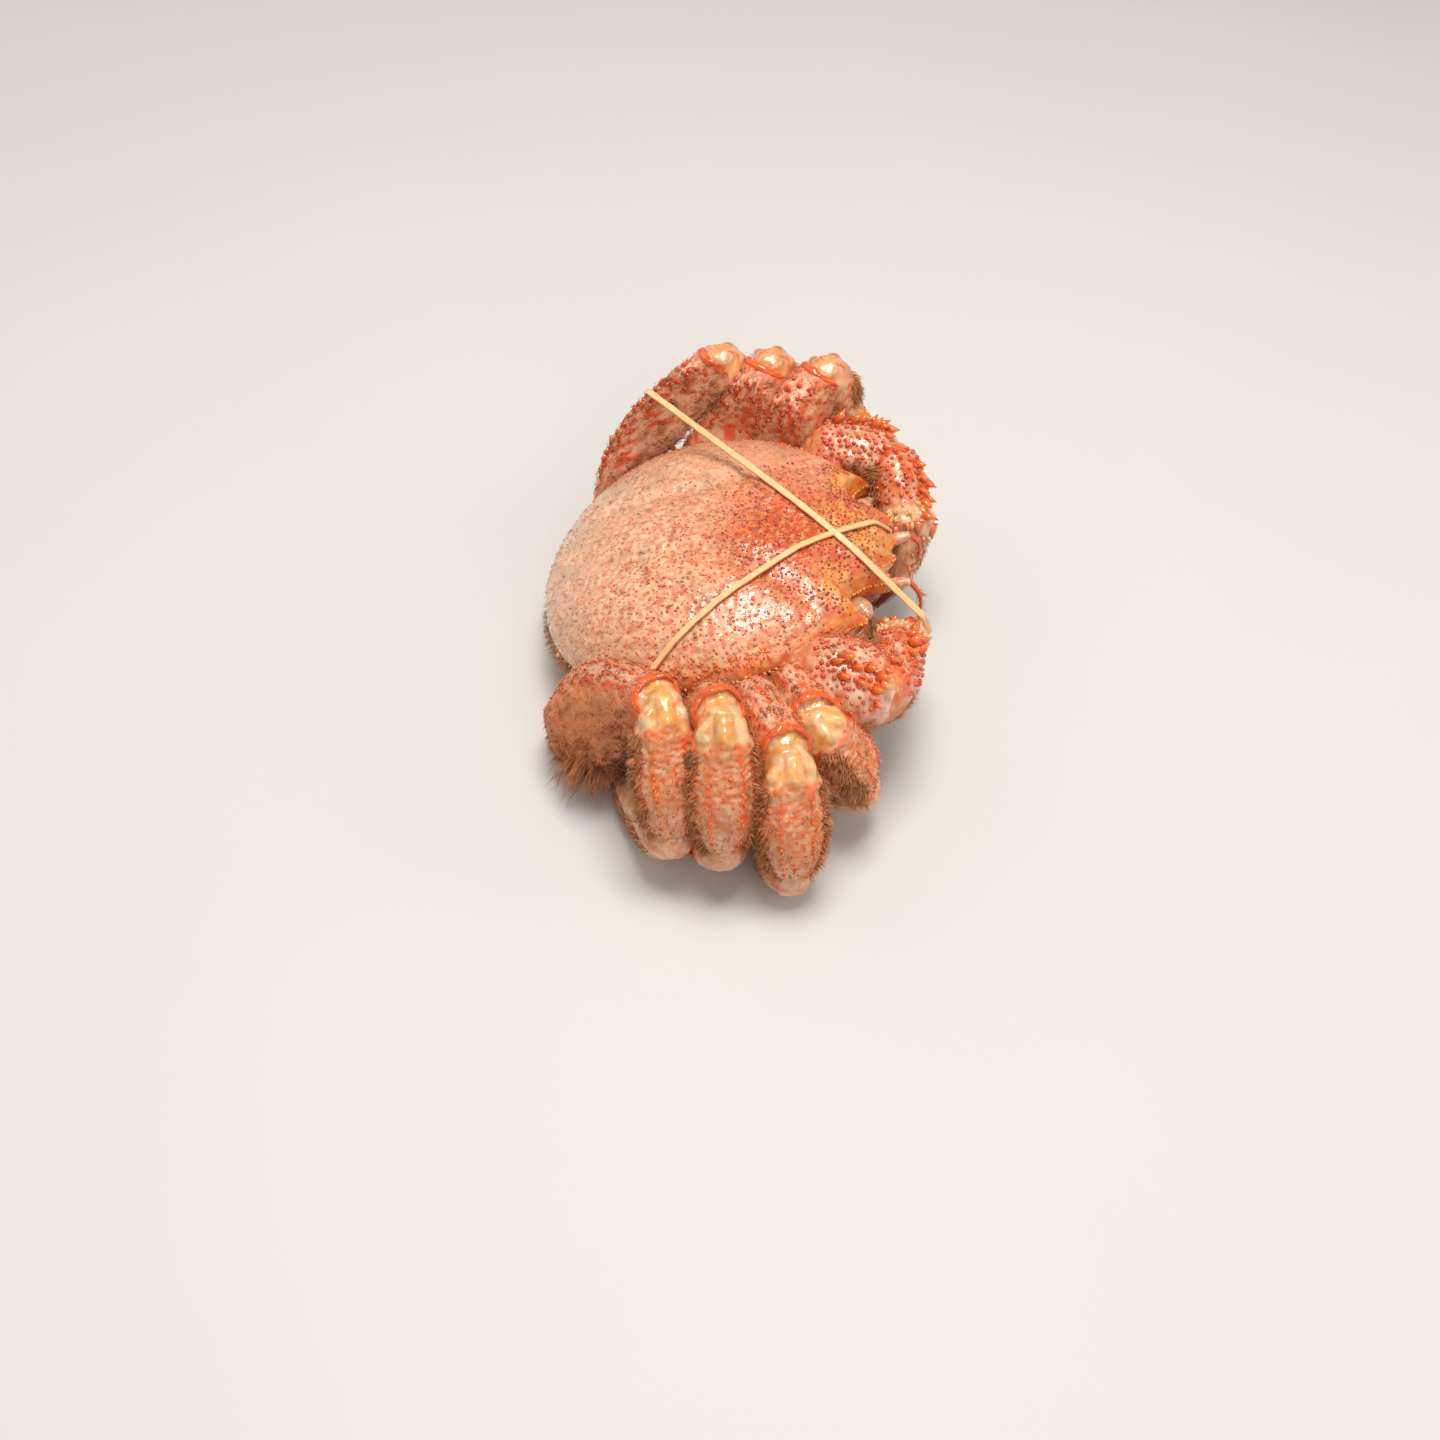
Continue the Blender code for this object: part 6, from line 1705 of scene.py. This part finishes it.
def bristle_material():
    """Bristles: their own tint from root to tip, with a little light and dark along them."""
    material, tree, shader = new_material("bristles")
    noise = noise_node(tree, 420.0, 2.0, -800, -100)
    tint = shaded(tree, attribute(tree, "shell_tint", "Color", 200), noise, 0.62, 1.26, -600, 100)
    connect(tree, shader, {"Base Color": tint, "Roughness": 0.42})
    return material


def band_material():
    """Rubber: pale tan, slightly glossy, with faint clouding and a fine unevenness."""
    material, tree, shader = new_material("band_rubber")
    noise = noise_node(tree, 700.0, 4.0, -800, -100)
    share = math_node(tree, "MULTIPLY", noise, 0.30, -600, -100)
    tint = attribute(tree, "shell_tint", "Color", 200)
    connect(tree, shader, {
        "Base Color": mix_node(tree, share, tint, (0.62, 0.36, 0.16), -400, 100),
        "Roughness": math_chain(tree, noise, -600, -300, ("MULTIPLY", 0.25), ("ADD", 0.32)),
        "Normal": bump_node(tree, noise, 0.15, 0.0002)})
    return material


def floor_material():
    """Plain pale floor with a faint unevenness in its shade."""
    material, tree, shader = new_material("pale_floor")
    noise = noise_node(tree, 9.0, 2.0, -800, -100)
    base = colour("floor")
    tint = mix_node(tree, noise, base * 0.97, base, -400, 100)
    connect(tree, shader, {"Base Color": tint, "Roughness": 0.6})
    return material


# Stage

CAMERA_PLACE = (-0.3098, -0.0168, 0.3387)
CAMERA_RIGHT = (0.0723, -0.9970, 0.0261)
CAMERA_UP = (0.7669, 0.0723, 0.6376)
CAMERA_AHEAD = (0.6376, 0.0261, -0.7699)
# Lights: place, size, power and share of it
LIGHTS = (
    ("overhead_light", (0.02, -0.02, 0.95), 0.42, "key_power", 1.0),
    ("camera_side_light", (-0.85, -0.35, 0.75), 0.70, "fill_power", 0.9),
    ("front_light", (0.10, -0.95, 0.55), 0.60, "fill_power", 0.6),
    ("rear_light", (0.45, 0.85, 0.75), 0.80, "fill_power", 0.6))
LIGHT_TARGET = (0.0, 0.0, 0.03)
LIGHT_COLOUR = (1.0, 0.965, 0.92)
SKY_COLOUR = (1.0, 0.98, 0.955, 1.0)
FLOOR_HALF = 12.0


class CRAB_OT_stage(bpy.types.Operator):
    """Lay the pale floor, hang the soft lights and set the camera."""
    bl_idname = "crab.stage"
    bl_label = "Stage"

    def execute(self, context):
        scene = context.scene
        stage = scene.crab_stage
        mesh = bpy.data.meshes.new("pale_floor")
        corners = [(x * FLOOR_HALF, y * FLOOR_HALF, 0) for x, y in ((-1, -1), (1, -1), (1, 1), (-1, 1))]
        mesh.from_pydata(corners, [], [(0, 1, 2, 3)])
        mesh.materials.append(floor_material())
        floor = bpy.data.objects.new("pale_floor", mesh)
        scene.collection.objects.link(floor)
        for name, place, size, power, share in LIGHTS:
            light = bpy.data.lights.new(name, "AREA")
            light.shape = "SQUARE"
            light.size = size
            light.energy = getattr(stage, power) * share
            light.color = LIGHT_COLOUR
            lamp = bpy.data.objects.new(name, light)
            lamp.location = place
            lamp.rotation_mode = "QUATERNION"
            lamp.rotation_quaternion = (Vector(LIGHT_TARGET) - Vector(place)).to_track_quat("-Z", "Y")
            scene.collection.objects.link(lamp)
        world = bpy.data.worlds.new("soft_room")
        world.use_nodes = True
        backdrop = world.node_tree.nodes["Background"]
        backdrop.inputs["Color"].default_value = SKY_COLOUR
        backdrop.inputs["Strength"].default_value = stage.sky
        scene.world = world
        scene.view_settings.view_transform = "Standard"
        lens = bpy.data.cameras.new("camera")
        lens.lens = stage.lens
        lens.sensor_width = 36.0
        lens.clip_start = 0.01
        lens.clip_end = 20.0
        camera = bpy.data.objects.new("camera", lens)
        rows = np.array([CAMERA_RIGHT, CAMERA_UP, -np.array(CAMERA_AHEAD)]).T
        place = np.array(CAMERA_PLACE) + PLACE
        camera.matrix_world = Matrix.Translation(Vector(place)) @ Matrix(rows.tolist()).to_4x4()
        scene.collection.objects.link(camera)
        scene.camera = camera
        return {"FINISHED"}


class CRAB_PT_panel(bpy.types.Panel):
    """Lists the steps that build the crab and the values they read."""
    bl_idname = "CRAB_PT_panel"
    bl_label = "Horsehair crab"
    bl_space_type = "VIEW_3D"
    bl_region_type = "UI"
    bl_category = "Crab"

    def draw(self, context):
        for step in STEPS:
            self.layout.operator(step.bl_idname)
        for group in (context.scene.crab_sizes, context.scene.crab_colours, context.scene.crab_stage):
            box = self.layout.box()
            for name in group.__annotations__:
                box.prop(group, name)


STEPS = (CRAB_OT_back, CRAB_OT_underside, CRAB_OT_legs, CRAB_OT_claws, CRAB_OT_face, CRAB_OT_bands,
         CRAB_OT_bristles, CRAB_OT_stage)
CLASSES = (CRAB_PG_sizes, CRAB_PG_colours, CRAB_PG_stage, *STEPS, CRAB_PT_panel)


def register():
    for kind in CLASSES:
        bpy.utils.register_class(kind)
    bpy.types.Scene.crab_sizes = PointerProperty(type=CRAB_PG_sizes)
    bpy.types.Scene.crab_colours = PointerProperty(type=CRAB_PG_colours)
    bpy.types.Scene.crab_stage = PointerProperty(type=CRAB_PG_stage)


def unregister():
    for name in ("crab_sizes", "crab_colours", "crab_stage"):
        delattr(bpy.types.Scene, name)
    for kind in reversed(CLASSES):
        bpy.utils.unregister_class(kind)


def main():
    register()
    bpy.ops.crab.back()
    bpy.ops.crab.underside()
    bpy.ops.crab.legs()
    bpy.ops.crab.claws()
    bpy.ops.crab.face()
    bpy.ops.crab.bands()
    bpy.ops.crab.bristles()
    bpy.ops.crab.stage()


if __name__ == "__main__":
    main()
